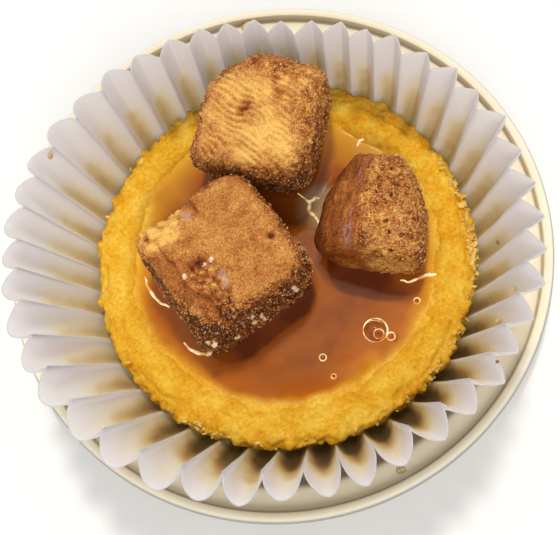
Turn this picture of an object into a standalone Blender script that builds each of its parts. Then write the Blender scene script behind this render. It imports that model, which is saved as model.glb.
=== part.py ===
"""A caramel pudding in its pleated paper case, standing on a small round metal dish.

The origin is the centre of the dish's flat underside, +Z is up, and the front of the group is at -Y.
The case and the pudding stand a little in front of the dish's centre.
"""

import math

import bmesh
import bpy
import numpy as np
from mathutils import Euler, Vector, noise

MM = 0.001
GAP = 0.3 * MM

# Dish: a pressed metal plate with a shallow well, a flat ledge and a rolled bead at its rim.
DISH_RADIUS = 44.8 * MM
BEAD_RADIUS = 1.1 * MM
BEAD_HEIGHT = 4.2 * MM
BEAD_START = 170.0
BEAD_END = -90.0
BEAD_POINTS = 9
DISH_SHEET = 0.9 * MM
LEDGE_TOP = 3.5 * MM
LEDGE_INNER_RADIUS = 39.6 * MM
WELL_RADIUS = 38.2 * MM
STEP_BLEND = 0.3 * MM
STEP_RUN = 0.7 * MM
DISH_STEPS = 48

# Paper case: a flat base and a wall of pleats that opens from the foot to the rim.
CASE_CENTRE = Vector((0.4 * MM, -5.5 * MM, 0.0))
CASE_FOOT_RADIUS = 27.0 * MM
CASE_FOOT_HEIGHT = DISH_SHEET + GAP
PAPER = 0.3 * MM
PLEATS = 44
POINTS_PER_PLEAT = 6
LOBE_POWER = 0.8
KNEE_RADIUS = 31.9 * MM
KNEE_HEIGHT = 13.2 * MM
FREE_WALL = 16.0 * MM
FREE_WALL_RADIUS = 31.2 * MM
PLEAT_DEPTH_FOOT = 0.25 * MM
PLEAT_DEPTH_KNEE = 1.1 * MM
PLEAT_DEPTH_RIM = 3.3 * MM
WALL_ROWS = (0.0, 0.44, 0.72, 1.0)
KNEE_ROW = 0.44
BASE_RING = 25.2 * MM

# The wall leans out by this angle in degrees on average, and by these first and second harmonics round the
# case, as (cosine, sine) pairs. The pleats' depth at the rim varies by its harmonics in mm, and their
# spacing by its harmonics in degrees.
FLARE_MEAN = 18.9
FLARE_HARMONICS = ((-6.9, -10.5), (5.7, -1.9))
FIRST_PLEAT = -33.5
RIM_DEPTH_HARMONICS = ((-0.4, -0.9),)
SPACING_HARMONICS = ((0.8, -2.6), (-0.7, -0.1), (0.1, 1.3), (-0.8, -0.3), (0.3, 0.4))

# Pudding: a shallow sponge disc with a recess in its top, and a ragged crumb edge.
PUDDING_FOOT_RADIUS = 25.9 * MM
PUDDING_RADIUS = 29.5 * MM
PUDDING_FOOT = CASE_FOOT_HEIGHT + PAPER + GAP
PUDDING_RIM = 13.2 * MM
RECESS_FLOOR = 11.6 * MM
RECESS_RADIUS = 20.0 * MM
RIM_INNER_RADIUS = 25.0 * MM
PUDDING_STEPS = 60
RECESS_POINTS = 7
FOOT_BEVEL = 0.8 * MM
CRUMB_RELIEF = 1.1 * MM
CRUMB_SIZE = 2.6 * MM

# The rim's rounded edge and side, as (set back in mm, drop in mm, share of the crumb relief).
RIM_PROFILE = ((2.9, 0.0, 0.5), (1.5, 0.0, 0.8), (0.3, 0.5, 1.0), (0.0, 1.6, 1.0), (0.9, 4.0, 0.5), (1.9, 7.2, 0.2))

# Caramel: a shallow pool that fills the recess round the three bites.
CARAMEL_LEVEL = 12.8 * MM
CARAMEL_RADIUS = 22.3 * MM
CARAMEL_EDGE = 0.25 * MM
CARAMEL_EDGE_POINTS = 3
CARAMEL_STEPS = 40

# Bites: rounded blocks of browned, sugared sponge standing in the pool.
BITE_CUTS = 8
BITE_FLOOR = RECESS_FLOOR + GAP
CUTTER_FLOOR = RECESS_FLOOR - 1.0 * MM
SEED_SHIFT = Vector((11.3, 5.9, 7.1))
CRAG_ROUGHNESS = 1.0
CRAG_LACUNARITY = 2.1
CRAG_OCTAVES = 3


def clear_scene():
    """Removes what the scene holds, so that the model stands alone in it."""
    for obj in list(bpy.data.objects):
        bpy.data.objects.remove(obj, do_unlink=True)


def make_material(name, color, roughness, metallic=0.0, transmission=0.0):
    """A Principled material with the given colour and finish."""
    material = bpy.data.materials.new(name)
    material.use_nodes = True
    shader = material.node_tree.nodes["Principled BSDF"]
    shader.inputs["Base Color"].default_value = (*color, 1.0)
    shader.inputs["Roughness"].default_value = roughness
    shader.inputs["Metallic"].default_value = metallic
    shader.inputs["Transmission Weight"].default_value = transmission
    return material


def add_object(name, mesh, collection, material=None):
    """Puts a mesh into the collection as a named, smooth object."""
    if material:
        mesh.materials.append(material)
    obj = bpy.data.objects.new(name, mesh)
    collection.objects.link(obj)
    return obj


def turned(name, profile, steps, collection, material, weights=None):
    """Turns an open profile of (radius, height) pairs, which starts and ends on the axis, about Z."""
    mesh = bpy.data.meshes.new(name)
    points = [(radius, 0.0, height) for radius, height in profile]
    edges = [(i, i + 1) for i in range(len(points) - 1)]
    mesh.from_pydata(points, edges, [])
    obj = add_object(name, mesh, collection, material)
    if weights:
        group = obj.vertex_groups.new(name="relief")
        for index, weight in enumerate(weights):
            group.add([index], weight, "REPLACE")
    screw = obj.modifiers.new("turn", "SCREW")
    screw.steps = steps
    screw.render_steps = steps
    screw.use_merge_vertices = True
    screw.merge_threshold = 0.01 * MM
    screw.use_smooth_shade = True
    return obj


def arc(centre_radius, centre_height, radius, start, end, count):
    """Points on an arc of a profile, with angles in degrees from the outward direction."""
    angles = np.radians(np.linspace(start, end, count))
    return [(centre_radius + radius * math.cos(a), centre_height + radius * math.sin(a)) for a in angles]


def build_dish(collection, material):
    """The dish's profile runs out over its upper face, round the bead, and back under the sheet."""
    bead_centre = DISH_RADIUS - BEAD_RADIUS
    under_ledge = LEDGE_TOP - DISH_SHEET
    profile = [(0.0, DISH_SHEET), (WELL_RADIUS - STEP_RUN, DISH_SHEET), (WELL_RADIUS, DISH_SHEET + STEP_BLEND)]
    profile += [(LEDGE_INNER_RADIUS - STEP_RUN, LEDGE_TOP - STEP_BLEND), (LEDGE_INNER_RADIUS, LEDGE_TOP)]
    profile += [(bead_centre - BEAD_RADIUS, LEDGE_TOP)]
    profile += arc(bead_centre, BEAD_HEIGHT, BEAD_RADIUS, BEAD_START, BEAD_END, BEAD_POINTS)
    profile += [(bead_centre - BEAD_RADIUS, under_ledge), (LEDGE_INNER_RADIUS + STEP_BLEND, under_ledge)]
    profile += [(WELL_RADIUS + STEP_BLEND, 0.0), (0.0, 0.0)]
    return turned("dish", profile, DISH_STEPS, collection, material)


def harmonics(angles, pairs):
    """Sum of cosine and sine terms of rising order."""
    total = np.zeros_like(angles)
    for order, (cosine, sine) in enumerate(pairs, start=1):
        total = total + cosine * np.cos(order * angles) + sine * np.sin(order * angles)
    return total


def case_wall(row):
    """One row of the wall's outer face, at the share `row` of the way from its foot to its rim.

    Each pleat is a rounded lobe: its outer fold lies on the wall, and the rest is set back along the wall's
    normal by the pleat's depth times one minus a power of the cosine of half a turn across the pleat.
    """
    count = PLEATS * POINTS_PER_PLEAT
    steady = math.radians(FIRST_PLEAT) + 2.0 * math.pi * np.arange(count) / count
    azimuth = steady + np.radians(harmonics(steady, SPACING_HARMONICS))
    lean = np.radians(FLARE_MEAN + harmonics(steady, FLARE_HARMONICS))
    rim_radius = FREE_WALL_RADIUS + FREE_WALL * np.sin(lean)
    rim_height = KNEE_HEIGHT + FREE_WALL * np.cos(lean)
    if row <= KNEE_ROW:
        share = row / KNEE_ROW
        radius = np.full(count, CASE_FOOT_RADIUS + (KNEE_RADIUS - CASE_FOOT_RADIUS) * share)
        height = np.full(count, CASE_FOOT_HEIGHT + (KNEE_HEIGHT - CASE_FOOT_HEIGHT) * share)
        depth = PLEAT_DEPTH_FOOT + (PLEAT_DEPTH_KNEE - PLEAT_DEPTH_FOOT) * share
        slope = math.atan2(KNEE_RADIUS - CASE_FOOT_RADIUS, KNEE_HEIGHT - CASE_FOOT_HEIGHT)
    else:
        share = (row - KNEE_ROW) / (1.0 - KNEE_ROW)
        radius = KNEE_RADIUS + (rim_radius - KNEE_RADIUS) * share
        height = KNEE_HEIGHT + (rim_height - KNEE_HEIGHT) * share
        rim_depth = PLEAT_DEPTH_RIM + harmonics(steady, RIM_DEPTH_HARMONICS) * MM
        depth = PLEAT_DEPTH_KNEE + (rim_depth - PLEAT_DEPTH_KNEE) * share
        slope = lean
    phase = np.arange(count) / POINTS_PER_PLEAT
    inset = depth * (1.0 - np.abs(np.cos(math.pi * phase)) ** LOBE_POWER)
    radius = radius - inset * np.cos(slope)
    height = height + inset * np.sin(slope)
    return np.stack([radius * np.cos(azimuth), radius * np.sin(azimuth), height], axis=1), azimuth


def build_case(collection, material):
    """A loft from the round base to the pleated rim, thickened inwards to the paper's thickness."""
    mesh = bpy.data.meshes.new("paper_case")
    _, azimuth = case_wall(0.0)
    count = len(azimuth)
    flat = np.full(count, CASE_FOOT_HEIGHT)
    base_ring = np.stack([BASE_RING * np.cos(azimuth), BASE_RING * np.sin(azimuth), flat], axis=1)
    rows = [base_ring] + [case_wall(row)[0] for row in WALL_ROWS]
    points = np.concatenate([[[0.0, 0.0, CASE_FOOT_HEIGHT]], *rows]) + np.array(CASE_CENTRE)
    faces = [(0, 1 + (i + 1) % count, 1 + i) for i in range(count)]
    for ring in range(len(rows) - 1):
        start = 1 + ring * count
        for i in range(count):
            j = (i + 1) % count
            faces.append((start + i, start + j, start + count + j, start + count + i))
    mesh.from_pydata(points.tolist(), [], faces)
    obj = add_object("paper_case", mesh, collection, material)
    mesh.shade_smooth()
    solidify = obj.modifiers.new("paper", "SOLIDIFY")
    solidify.thickness = PAPER
    solidify.offset = -1.0
    return obj


def recess_height(radius):
    """Height of the pudding's top at a radius: a flat recess floor that rises smoothly to the rim."""
    share = min(max((radius - RECESS_RADIUS) / (RIM_INNER_RADIUS - RECESS_RADIUS), 0.0), 1.0)
    return RECESS_FLOOR + (PUDDING_RIM - RECESS_FLOOR) * share * share * (3.0 - 2.0 * share)


def build_pudding(collection, material):
    """A turned disc whose rim and side carry crumb relief, while its foot and its recess stay smooth.

    Each point of the profile is (radius, height, share of the relief).
    """
    profile = [(0.0, RECESS_FLOOR, 0.0)]
    for radius in np.linspace(0.5 * RECESS_RADIUS, RIM_INNER_RADIUS, RECESS_POINTS):
        profile.append((radius, recess_height(radius), 0.0))
    for inset, drop, share in RIM_PROFILE:
        profile.append((PUDDING_RADIUS - inset * MM, PUDDING_RIM - drop * MM, share))
    profile.append((PUDDING_FOOT_RADIUS, PUDDING_FOOT + FOOT_BEVEL, 0.0))
    profile.append((PUDDING_FOOT_RADIUS - FOOT_BEVEL, PUDDING_FOOT, 0.0))
    profile.append((0.0, PUDDING_FOOT, 0.0))
    outline = [(radius, height) for radius, height, _ in profile]
    weights = [weight for _, _, weight in profile]
    obj = turned("pudding", outline, PUDDING_STEPS, collection, material, weights)
    obj.location = CASE_CENTRE
    crumb = bpy.data.textures.new("crumb", "CLOUDS")
    crumb.noise_scale = CRUMB_SIZE
    crumb.noise_depth = 2
    relief = obj.modifiers.new("crumb relief", "DISPLACE")
    relief.texture = crumb
    relief.vertex_group = "relief"
    relief.strength = CRUMB_RELIEF
    relief.mid_level = 0.5
    return obj


def bite_mesh(name, spec, seed, floor, grow):
    """A block rounded by a superquadric rule, narrowed along local Y, with crumb relief and dents.

    A point of a cube is divided by the superquadric length of its position, so that the exponent
    `round_across` rounds the section across local Y and `round_along` rounds the two ends. Noise then moves
    the point along its direction, and each dent pushes in the points near it. The block is turned, and what
    would reach below the floor is pressed flat on it.
    """
    across_power = spec["round_across"]
    along_power = spec["round_along"]
    size = Vector(spec["half_size"]) * MM
    turn = Euler([math.radians(angle) for angle in spec["turn"]], "XYZ").to_matrix()
    centre = Vector(spec["centre"]) * MM
    cage = bmesh.new()
    bmesh.ops.create_cube(cage, size=2.0)
    bmesh.ops.subdivide_edges(cage, edges=cage.edges[:], cuts=BITE_CUTS, use_grid_fill=True)
    for vertex in cage.verts:
        x, y, z = vertex.co
        across = (abs(x) ** across_power + abs(z) ** across_power) ** (1.0 / across_power)
        length = (across ** along_power + abs(y) ** along_power) ** (1.0 / along_power)
        x, y, z = x / length, y / length, z / length
        place = Vector((x * size.x * (1.0 - spec["taper"] * y), y * size.y, z * size.z))
        outward = place.normalized()
        crag_place = place / (spec["crag_size"] * MM) + SEED_SHIFT * seed
        crag = noise.fractal(crag_place, CRAG_ROUGHNESS, CRAG_LACUNARITY, CRAG_OCTAVES)
        push = spec["relief"] * MM * crag + grow
        for direction, reach, depth in spec["dents"]:
            nearness = (outward - Vector(direction).normalized()).length / reach
            if nearness < 1.0:
                push -= depth * MM * (1.0 - nearness * nearness) ** 2
        vertex.co = turn @ (place + outward * push)
        vertex.co.z = max(vertex.co.z, floor - centre.z)
    mesh = bpy.data.meshes.new(name)
    cage.to_mesh(mesh)
    cage.free()
    mesh.shade_smooth()
    return mesh


# Each bite: half size in mm, section and end exponents, narrowing along local Y, relief in mm, crag size in
# mm, dents as (direction, reach, depth in mm) with bulges as negative depths, centre in mm, and turn about
# X, Y and Z in degrees.
BITES = {
    "bite_upper": {
        "half_size": (9.0, 9.2, 8.0), "round_across": 4.5, "round_along": 4.5, "taper": 0.06,
        "relief": 0.9, "crag_size": 4.2, "dents": (((0.6, 0.9, 0.9), 0.35, 0.8),),
        "centre": (3.8, 13.0, 20.8), "turn": (14.0, 0.0, -28.0)},
    "bite_left": {
        "half_size": (10.0, 9.5, 8.0), "round_across": 5.5, "round_along": 6.0, "taper": 0.0,
        "relief": 0.8, "crag_size": 5.0,
        "dents": (((-1.0, -0.9, 0.9), 0.45, 2.2), ((-1.0, 0.9, 0.8), 0.4, -1.0), ((-1.0, -1.0, -0.8), 0.6, -0.8)),
        "centre": (-7.9, -6.2, 19.2), "turn": (2.0, -2.0, 18.0)},
    "bite_right": {
        "half_size": (7.4, 7.6, 7.0), "round_across": 2.6, "round_along": 6.0, "taper": 0.2,
        "relief": 0.7, "crag_size": 4.0, "dents": (((0.8, -0.8, 0.9), 0.4, 0.8),),
        "centre": (15.6, -5.2, 18.0), "turn": (3.0, -12.0, -29.0)},
}


def build_bite(name, spec, seed, collection, material, floor=BITE_FLOOR, grow=0.0):
    """One bite, placed where it stands in the pool."""
    obj = add_object(name, bite_mesh(name, spec, seed, floor, grow), collection, material)
    obj.location = Vector(spec["centre"]) * MM
    return obj


def build_caramel(collection, cutters, material):
    """A turned pool over the recess, cut round each bite with the gap that touching pieces keep."""
    radii = [0.0, *np.linspace(RECESS_RADIUS, CARAMEL_RADIUS, CARAMEL_EDGE_POINTS)]
    under = [(radius, recess_height(radius) + GAP) for radius in radii]
    profile = [(0.0, CARAMEL_LEVEL), (CARAMEL_RADIUS - CARAMEL_EDGE, CARAMEL_LEVEL)]
    profile += [(CARAMEL_RADIUS + CARAMEL_EDGE, under[-1][1] + CARAMEL_EDGE)]
    profile += under[::-1]
    obj = turned("caramel", profile, CARAMEL_STEPS, collection, material)
    obj.location = CASE_CENTRE
    for cutter in cutters:
        cut = obj.modifiers.new("round " + cutter.name, "BOOLEAN")
        cut.operation = "DIFFERENCE"
        cut.solver = "EXACT"
        cut.object = cutter
    return obj


def main():
    clear_scene()
    group = bpy.data.collections.new("caramel_pudding")
    cutting = bpy.data.collections.new("cutters")
    for collection in (group, cutting):
        bpy.context.scene.collection.children.link(collection)
    metal = make_material("dish metal", (0.80, 0.72, 0.55), 0.28, metallic=1.0)
    paper = make_material("case paper", (0.72, 0.68, 0.66), 0.75)
    sponge = make_material("pudding sponge", (0.80, 0.45, 0.06), 0.7)
    sauce = make_material("caramel sauce", (0.52, 0.20, 0.05), 0.12, transmission=0.3)
    crust = make_material("bite crust", (0.42, 0.19, 0.07), 0.8)
    build_dish(group, metal)
    build_case(group, paper)
    build_pudding(group, sponge)
    cutters = []
    for seed, (name, spec) in enumerate(BITES.items(), start=1):
        build_bite(name, spec, seed, group, crust)
        cutter = build_bite("cut_" + name, spec, seed, cutting, None, CUTTER_FLOOR, GAP)
        cutter.hide_render = True
        cutter.display_type = "WIRE"
        cutters.append(cutter)
    build_caramel(group, cutters, sauce)


main()
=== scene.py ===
"""Dresses the caramel pudding: fine meshes and finishes for its dish, paper case, sponge, caramel and bites.

Lengths in this script are in millimetres and become metres where a mesh is made. +Z is up, and the front of
the group is at -Y, as in the frame.
"""

from __future__ import annotations

import logging
import math
from dataclasses import dataclass
from enum import Enum
from typing import ClassVar

import bpy
import numpy as np
from mathutils import Matrix, Vector


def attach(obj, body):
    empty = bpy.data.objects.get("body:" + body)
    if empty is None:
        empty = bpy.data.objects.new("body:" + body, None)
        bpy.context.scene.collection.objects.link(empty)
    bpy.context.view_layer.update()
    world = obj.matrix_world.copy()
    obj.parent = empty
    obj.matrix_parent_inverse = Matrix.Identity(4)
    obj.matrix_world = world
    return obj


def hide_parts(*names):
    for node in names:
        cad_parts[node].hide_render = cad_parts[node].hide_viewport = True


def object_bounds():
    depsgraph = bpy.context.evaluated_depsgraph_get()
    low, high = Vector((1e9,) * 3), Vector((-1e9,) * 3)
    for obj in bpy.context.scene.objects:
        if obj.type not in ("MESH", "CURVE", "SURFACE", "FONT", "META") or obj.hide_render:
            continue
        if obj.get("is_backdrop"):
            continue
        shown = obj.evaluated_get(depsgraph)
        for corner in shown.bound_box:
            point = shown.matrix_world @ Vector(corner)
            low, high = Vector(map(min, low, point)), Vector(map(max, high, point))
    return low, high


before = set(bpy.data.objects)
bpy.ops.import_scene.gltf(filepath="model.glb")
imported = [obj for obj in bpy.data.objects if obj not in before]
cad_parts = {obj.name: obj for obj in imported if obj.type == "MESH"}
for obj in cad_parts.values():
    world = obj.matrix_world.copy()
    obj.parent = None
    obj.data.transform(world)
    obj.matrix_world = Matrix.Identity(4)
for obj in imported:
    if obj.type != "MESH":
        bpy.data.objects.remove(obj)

LOG = logging.getLogger("caramel_pudding")
MM = 0.001
# Mean height of a crumb, as a share of its full height. Tones darken crumb that lies lower than this: painted
# shade in the hollows.
CRUMB_MEAN = 0.42
# Where the pudding and its case stand on the dish.
PUDDING_MIDDLE = (0.4, -5.5)
# Radius of the case's inner folds at its foot and at its knee.
FOLD_FOOT = 26.6
FOLD_KNEE = 30.0
Array = np.ndarray
Place = tuple[float, float]
Rgb = tuple[float, float, float]
Triple = tuple[float, float, float]


class Slot(Enum):
    """The record's material slots."""

    DISH = "dish_metal"
    CASE = "case_paper"
    SPONGE = "pudding_sponge"
    CARAMEL = "caramel_sauce"
    CRUST = "bite_crust"


# Noise on a lattice


def hashed(cells: Array, seed: int) -> Array:
    """A repeatable random value from 0 to 1 for each whole-number cell.

    Args:
        cells: Whole numbers, with x, y and z along the last axis.
        seed: Another seed gives other values.

    Returns:
        One value for each cell: its coordinates times large odd numbers, mixed by shifts and products.
    """
    whole = cells.astype(np.int64).astype(np.uint32)
    mixed = whole[..., 0] * np.uint32(374761393) + whole[..., 1] * np.uint32(668265263)
    mixed = mixed + whole[..., 2] * np.uint32(2246822519) + np.uint32(seed * 3266489917 % 2**32)
    mixed = (mixed ^ (mixed >> np.uint32(15))) * np.uint32(2246822519)
    mixed = (mixed ^ (mixed >> np.uint32(13))) * np.uint32(3266489917)
    return (mixed ^ (mixed >> np.uint32(16))).astype(np.float64) / 2**32


def smooth_noise(points: Array, size: float, seed: int) -> Array:
    """Noise from -1 to 1: the hashed values of the eight corners round each point, blended smoothly.

    Args:
        points: Places in mm.
        size: The lattice's spacing in mm.
        seed: Seed of the lattice.

    Returns:
        One value for each point.
    """
    scaled = points / size
    corner = np.floor(scaled)
    part = scaled - corner
    blend = part * part * part * (part * (part * 6.0 - 15.0) + 10.0)
    total = np.zeros(points.shape[:-1])
    for step in np.ndindex(2, 2, 2):
        offset = np.array(step)
        weight = np.prod(np.where(offset == 1, blend, 1.0 - blend), axis=-1)
        total += weight * hashed(corner + offset, seed)
    return 2.0 * total - 1.0


def fractal(points: Array, size: float, seed: int, octaves: int = 4, fade: float = 0.5) -> Array:
    """A sum of smooth noise, each octave about half as large and weaker by the fade.

    Args:
        points: Places in mm.
        size: Size of the largest octave in mm.
        seed: Seed of the first octave.
        octaves: How many octaves are summed.
        fade: Strength of an octave against the one before it.

    Returns:
        One value for each point, about -1 to 1.
    """
    total = np.zeros(points.shape[:-1])
    strength = 1.0
    for octave in range(octaves):
        total += strength * smooth_noise(points, size / 2.03**octave, seed + 17 * octave)
        strength *= fade
    return total


def grains(points: Array, size: float, seed: int) -> tuple[Array, Array]:
    """Distance to the nearest of the points strewn one to a cell, and that grain's own random value.

    Args:
        points: Places in mm.
        size: Spacing of the grains in mm.
        seed: Seed of the grains.

    Returns:
        The distance as a share of the spacing, and a value from 0 to 1 that is the same all over a grain.
    """
    scaled = points / size
    corner = np.floor(scaled)
    nearest = np.full(points.shape[:-1], 9.0)
    value = np.zeros(points.shape[:-1])
    for step in np.ndindex(3, 3, 3):
        cell = corner + np.array(step) - 1.0
        jitter = np.stack([hashed(cell, seed + axis) for axis in range(3)], axis=-1)
        distance = np.linalg.norm(cell + jitter - scaled, axis=-1)
        closer = distance < nearest
        nearest = np.where(closer, distance, nearest)
        value = np.where(closer, hashed(cell, seed + 3), value)
    return nearest, value


def ease(value: Array, low: float, high: float) -> Array:
    """A smooth step: 0 at low, 1 at high, and level at both ends."""
    share = np.clip((value - low) / (high - low), 0.0, 1.0)
    return share * share * (3.0 - 2.0 * share)


def harmonics(angles: Array, pairs: tuple[Place, ...]) -> Array:
    """Sum of cosine and sine terms of rising order.

    Args:
        angles: Angles in radians.
        pairs: The cosine's and the sine's strength of each order.

    Returns:
        One value for each angle.
    """
    total = np.zeros_like(angles)
    for order, (cosine, sine) in enumerate(pairs, start=1):
        total = total + cosine * np.cos(order * angles) + sine * np.sin(order * angles)
    return total


# Meshes from arrays


@dataclass
class Surface:
    """A mesh in the making: points in mm, faces as rows of point numbers, and values that points carry."""

    points: Array
    quads: Array
    triangles: Array
    values: dict[str, Array]

    @staticmethod
    def of_rings(rings: Array, start: Triple | None = None, end: Triple | None = None,
                 wrap: bool = False) -> "Surface":
        """Skin over closed rings, which run anticlockwise seen from above, with a pole at either end.

        Args:
            rings: Points by ring, place in the ring, and x, y, z. On the outside the rings rise.
            start: The pole that closes the first ring, or None to leave it open.
            end: The pole that closes the last ring, or None.
            wrap: Whether the last ring is joined to the first.

        Returns:
            The surface, with its faces pointing out.
        """
        count, around = rings.shape[:2]
        index = np.arange(count * around).reshape(count, around)
        low = index if wrap else index[:-1]
        high = np.roll(index, -1, axis=0)[: len(low)]
        beside = [np.roll(low, -1, axis=1), np.roll(high, -1, axis=1)]
        quads = np.stack([low, *beside, high], axis=-1).reshape(-1, 4)
        turned = np.roll(index, -1, axis=1)
        points = [rings.reshape(-1, 3)]
        fans = []
        if start is not None:
            pole = np.full(around, count * around)
            fans.append(np.stack([pole, turned[0], index[0]], axis=-1))
            points.append(np.array([start]))
        if end is not None:
            pole = np.full(around, count * around + (start is not None))
            fans.append(np.stack([pole, index[-1], turned[-1]], axis=-1))
            points.append(np.array([end]))
        triangles = np.concatenate(fans) if fans else np.zeros((0, 3), int)
        return Surface(np.concatenate(points), quads, triangles, {})

    @staticmethod
    def of_cube(cuts: int) -> "Surface":
        """A cube from -1 to 1 whose six faces are grids that share their edges.

        Args:
            cuts: How many squares lie along each edge.

        Returns:
            The welded cube, with its faces pointing out.
        """
        line = np.linspace(-1.0, 1.0, cuts + 1)
        across, along = np.meshgrid(line, line, indexing="ij")
        level = np.ones_like(across)
        index = np.arange((cuts + 1) ** 2).reshape(cuts + 1, cuts + 1)
        square = np.stack([index[:-1, :-1], index[1:, :-1], index[1:, 1:], index[:-1, 1:]], axis=-1)
        square = square.reshape(-1, 4)
        sides: list[Array] = []
        faces: list[Array] = []
        for axis in range(3):
            for way in (1.0, -1.0):
                side = np.stack([across, along, way * level], axis=-1).reshape(-1, 3)
                faces.append((square if way > 0 else square[:, ::-1]) + len(sides) * index.size)
                sides.append(np.roll(side, axis + 1, axis=1))
        stacked = np.concatenate(sides)
        whole = np.round(stacked * cuts).astype(int)
        _, first, inverse = np.unique(whole, axis=0, return_index=True, return_inverse=True)
        quads = inverse.reshape(-1)[np.concatenate(faces)]
        return Surface(stacked[first], quads, np.zeros((0, 3), int), {})

    def normals(self) -> Array:
        """The unit normal of each point.

        Returns:
            The unit normals, each the sum of the crossed diagonals or sides of the faces at its point.
        """
        total = np.zeros_like(self.points)
        corners = self.points[self.quads]
        crossed = np.cross(corners[:, 2] - corners[:, 0], corners[:, 3] - corners[:, 1])
        for place in range(4):
            np.add.at(total, self.quads[:, place], crossed)
        fan = self.points[self.triangles]
        crossed = np.cross(fan[:, 1] - fan[:, 0], fan[:, 2] - fan[:, 0])
        for place in range(3):
            np.add.at(total, self.triangles[:, place], crossed)
        return total / np.maximum(np.linalg.norm(total, axis=1, keepdims=True), 1e-12)

    def raised(self, amount: Array) -> None:
        """Moves each point along its normal by an amount in mm."""
        self.points = self.points + self.normals() * amount[:, None]

    def to_piece(self, name: str, material: bpy.types.Material, slot: Slot, *nodes: str) -> bpy.types.Object:
        """Args:
            name: Name of the piece.
            material: Its finish.
            slot: The record's slot that it belongs to. Not used.
            nodes: The solids that it stands for.

        Returns:
            The object, at the origin, with its place in its mesh.
        """
        mesh = bpy.data.meshes.new(name)
        mesh.vertices.add(len(self.points))
        mesh.vertices.foreach_set("co", (self.points * MM).astype(np.float32).ravel())
        corners = np.concatenate([self.quads.ravel(), self.triangles.ravel()])
        mesh.loops.add(len(corners))
        mesh.loops.foreach_set("vertex_index", corners.astype(np.int32))
        fans = self.quads.size + 3 * np.arange(len(self.triangles))
        starts = np.concatenate([4 * np.arange(len(self.quads)), fans])
        mesh.polygons.add(len(starts))
        mesh.polygons.foreach_set("loop_start", starts.astype(np.int32))
        mesh.update(calc_edges=True)
        mesh.validate()
        mesh.shade_smooth()
        for key, value in self.values.items():
            mesh.attributes.new(key, "FLOAT", "POINT").data.foreach_set("value", value.astype(np.float32))
        mesh.materials.append(material)
        piece = bpy.data.objects.new(name, mesh)
        bpy.context.scene.collection.objects.link(piece)
        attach(piece, "root")
        if nodes:
            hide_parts(*nodes)
        LOG.info("%s: %d points, %d faces", name, len(self.points), len(starts))
        return piece


def lathe(radius: Array, height: Array, steps: int, centre: Place = (0.0, 0.0)) -> Array:
    """Rings about an upright axis.

    Args:
        radius: The radius of each ring, as a column, or of each ring at each step.
        height: The height, in either form.
        steps: How many points lie round a ring.
        centre: The axis's place.

    Returns:
        Points by ring and step: the axis plus the radius times the cosine and sine of the step's turn.
    """
    turn = 2.0 * math.pi * np.arange(steps) / steps
    x = centre[0] + radius * np.cos(turn)
    y = centre[1] + radius * np.sin(turn)
    return np.stack([x, y, height + np.zeros_like(x)], axis=-1)


def scattered(template: Surface, places: Array, sizes: Array, turns: Array) -> Surface:
    """Copies of a small shape, joined into one surface.

    Args:
        template: The shape, about the origin.
        places: Where each copy goes.
        sizes: The three sizes of each copy.
        turns: The rotation matrix of each copy.

    Returns:
        The joined copies: each is the template times its sizes, turned and put in its place.
    """
    count, points = len(places), len(template.points)
    shaped = template.points[None] * sizes[:, None]
    placed = np.einsum("nij,npj->npi", turns, shaped) + places[:, None]
    shift = np.arange(count)[:, None, None] * points
    quads = (template.quads[None] + shift).reshape(-1, 4)
    triangles = (template.triangles[None] + shift).reshape(-1, 3)
    return Surface(placed.reshape(-1, 3), quads, triangles, {})


def joined(parts: list[Surface]) -> Surface:
    """Several surfaces as one.

    Args:
        parts: The surfaces.

    Returns:
        One surface with the points and faces of all.
    """
    starts = np.cumsum([0] + [len(part.points) for part in parts])
    quads = np.concatenate([part.quads + start for part, start in zip(parts, starts)])
    triangles = np.concatenate([part.triangles + start for part, start in zip(parts, starts)])
    return Surface(np.concatenate([part.points for part in parts]), quads, triangles, {})


def tube(path: Array, radii: Array, around: int = 10) -> Surface:
    """A round thread along a path, closed at its ends.

    Args:
        path: Points along it.
        radii: Its radius at each point.
        around: How many points lie round it.

    Returns:
        The thread: at each point a circle stands square to the path's direction.
    """
    ahead = np.gradient(path, axis=0)
    ahead /= np.linalg.norm(ahead, axis=1, keepdims=True)
    side = np.cross(ahead, (0.0, 0.0, 1.0))
    side /= np.linalg.norm(side, axis=1, keepdims=True)
    lift = np.cross(side, ahead)
    turn = 2.0 * math.pi * np.arange(around)[None, :, None] / around
    circle = np.cos(turn) * lift[:, None] + np.sin(turn) * side[:, None]
    start = path[0] - 0.5 * radii[0] * ahead[0]
    end = path[-1] + 0.5 * radii[-1] * ahead[-1]
    return Surface.of_rings(path[:, None] + radii[:, None, None] * circle, tuple(start), tuple(end))


def lump(cuts: int, rough: float, seed: int) -> Surface:
    """An uneven ball of radius 1.

    Args:
        cuts: How many squares lie along each edge of the cube.
        rough: Strength of the noise.
        seed: Its seed.

    Returns:
        The ball: a cube's points drawn onto a ball, and moved out and in by noise.
    """
    ball = Surface.of_cube(cuts)
    ball.points = ball.points / np.linalg.norm(ball.points, axis=1, keepdims=True)
    ball.points = ball.points * (1.0 + rough * fractal(ball.points, 0.9, seed, 3))[:, None]
    return ball


def random_turns(count: int, rng: np.random.Generator) -> Array:
    """Rotation matrices of evenly spread random turns, from random unit quaternions.

    Args:
        count: How many turns.
        rng: The random numbers.

    Returns:
        The rotation matrix of each turn.
    """
    quaternion = rng.normal(size=(count, 4))
    w, x, y, z = (quaternion / np.linalg.norm(quaternion, axis=1, keepdims=True)).T
    rows = [[1 - 2 * (y * y + z * z), 2 * (x * y - z * w), 2 * (x * z + y * w)],
            [2 * (x * y + z * w), 1 - 2 * (x * x + z * z), 2 * (y * z - x * w)],
            [2 * (x * z - y * w), 2 * (y * z + x * w), 1 - 2 * (x * x + y * y)]]
    return np.moveaxis(np.array(rows), -1, 0)


# Finishes


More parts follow.
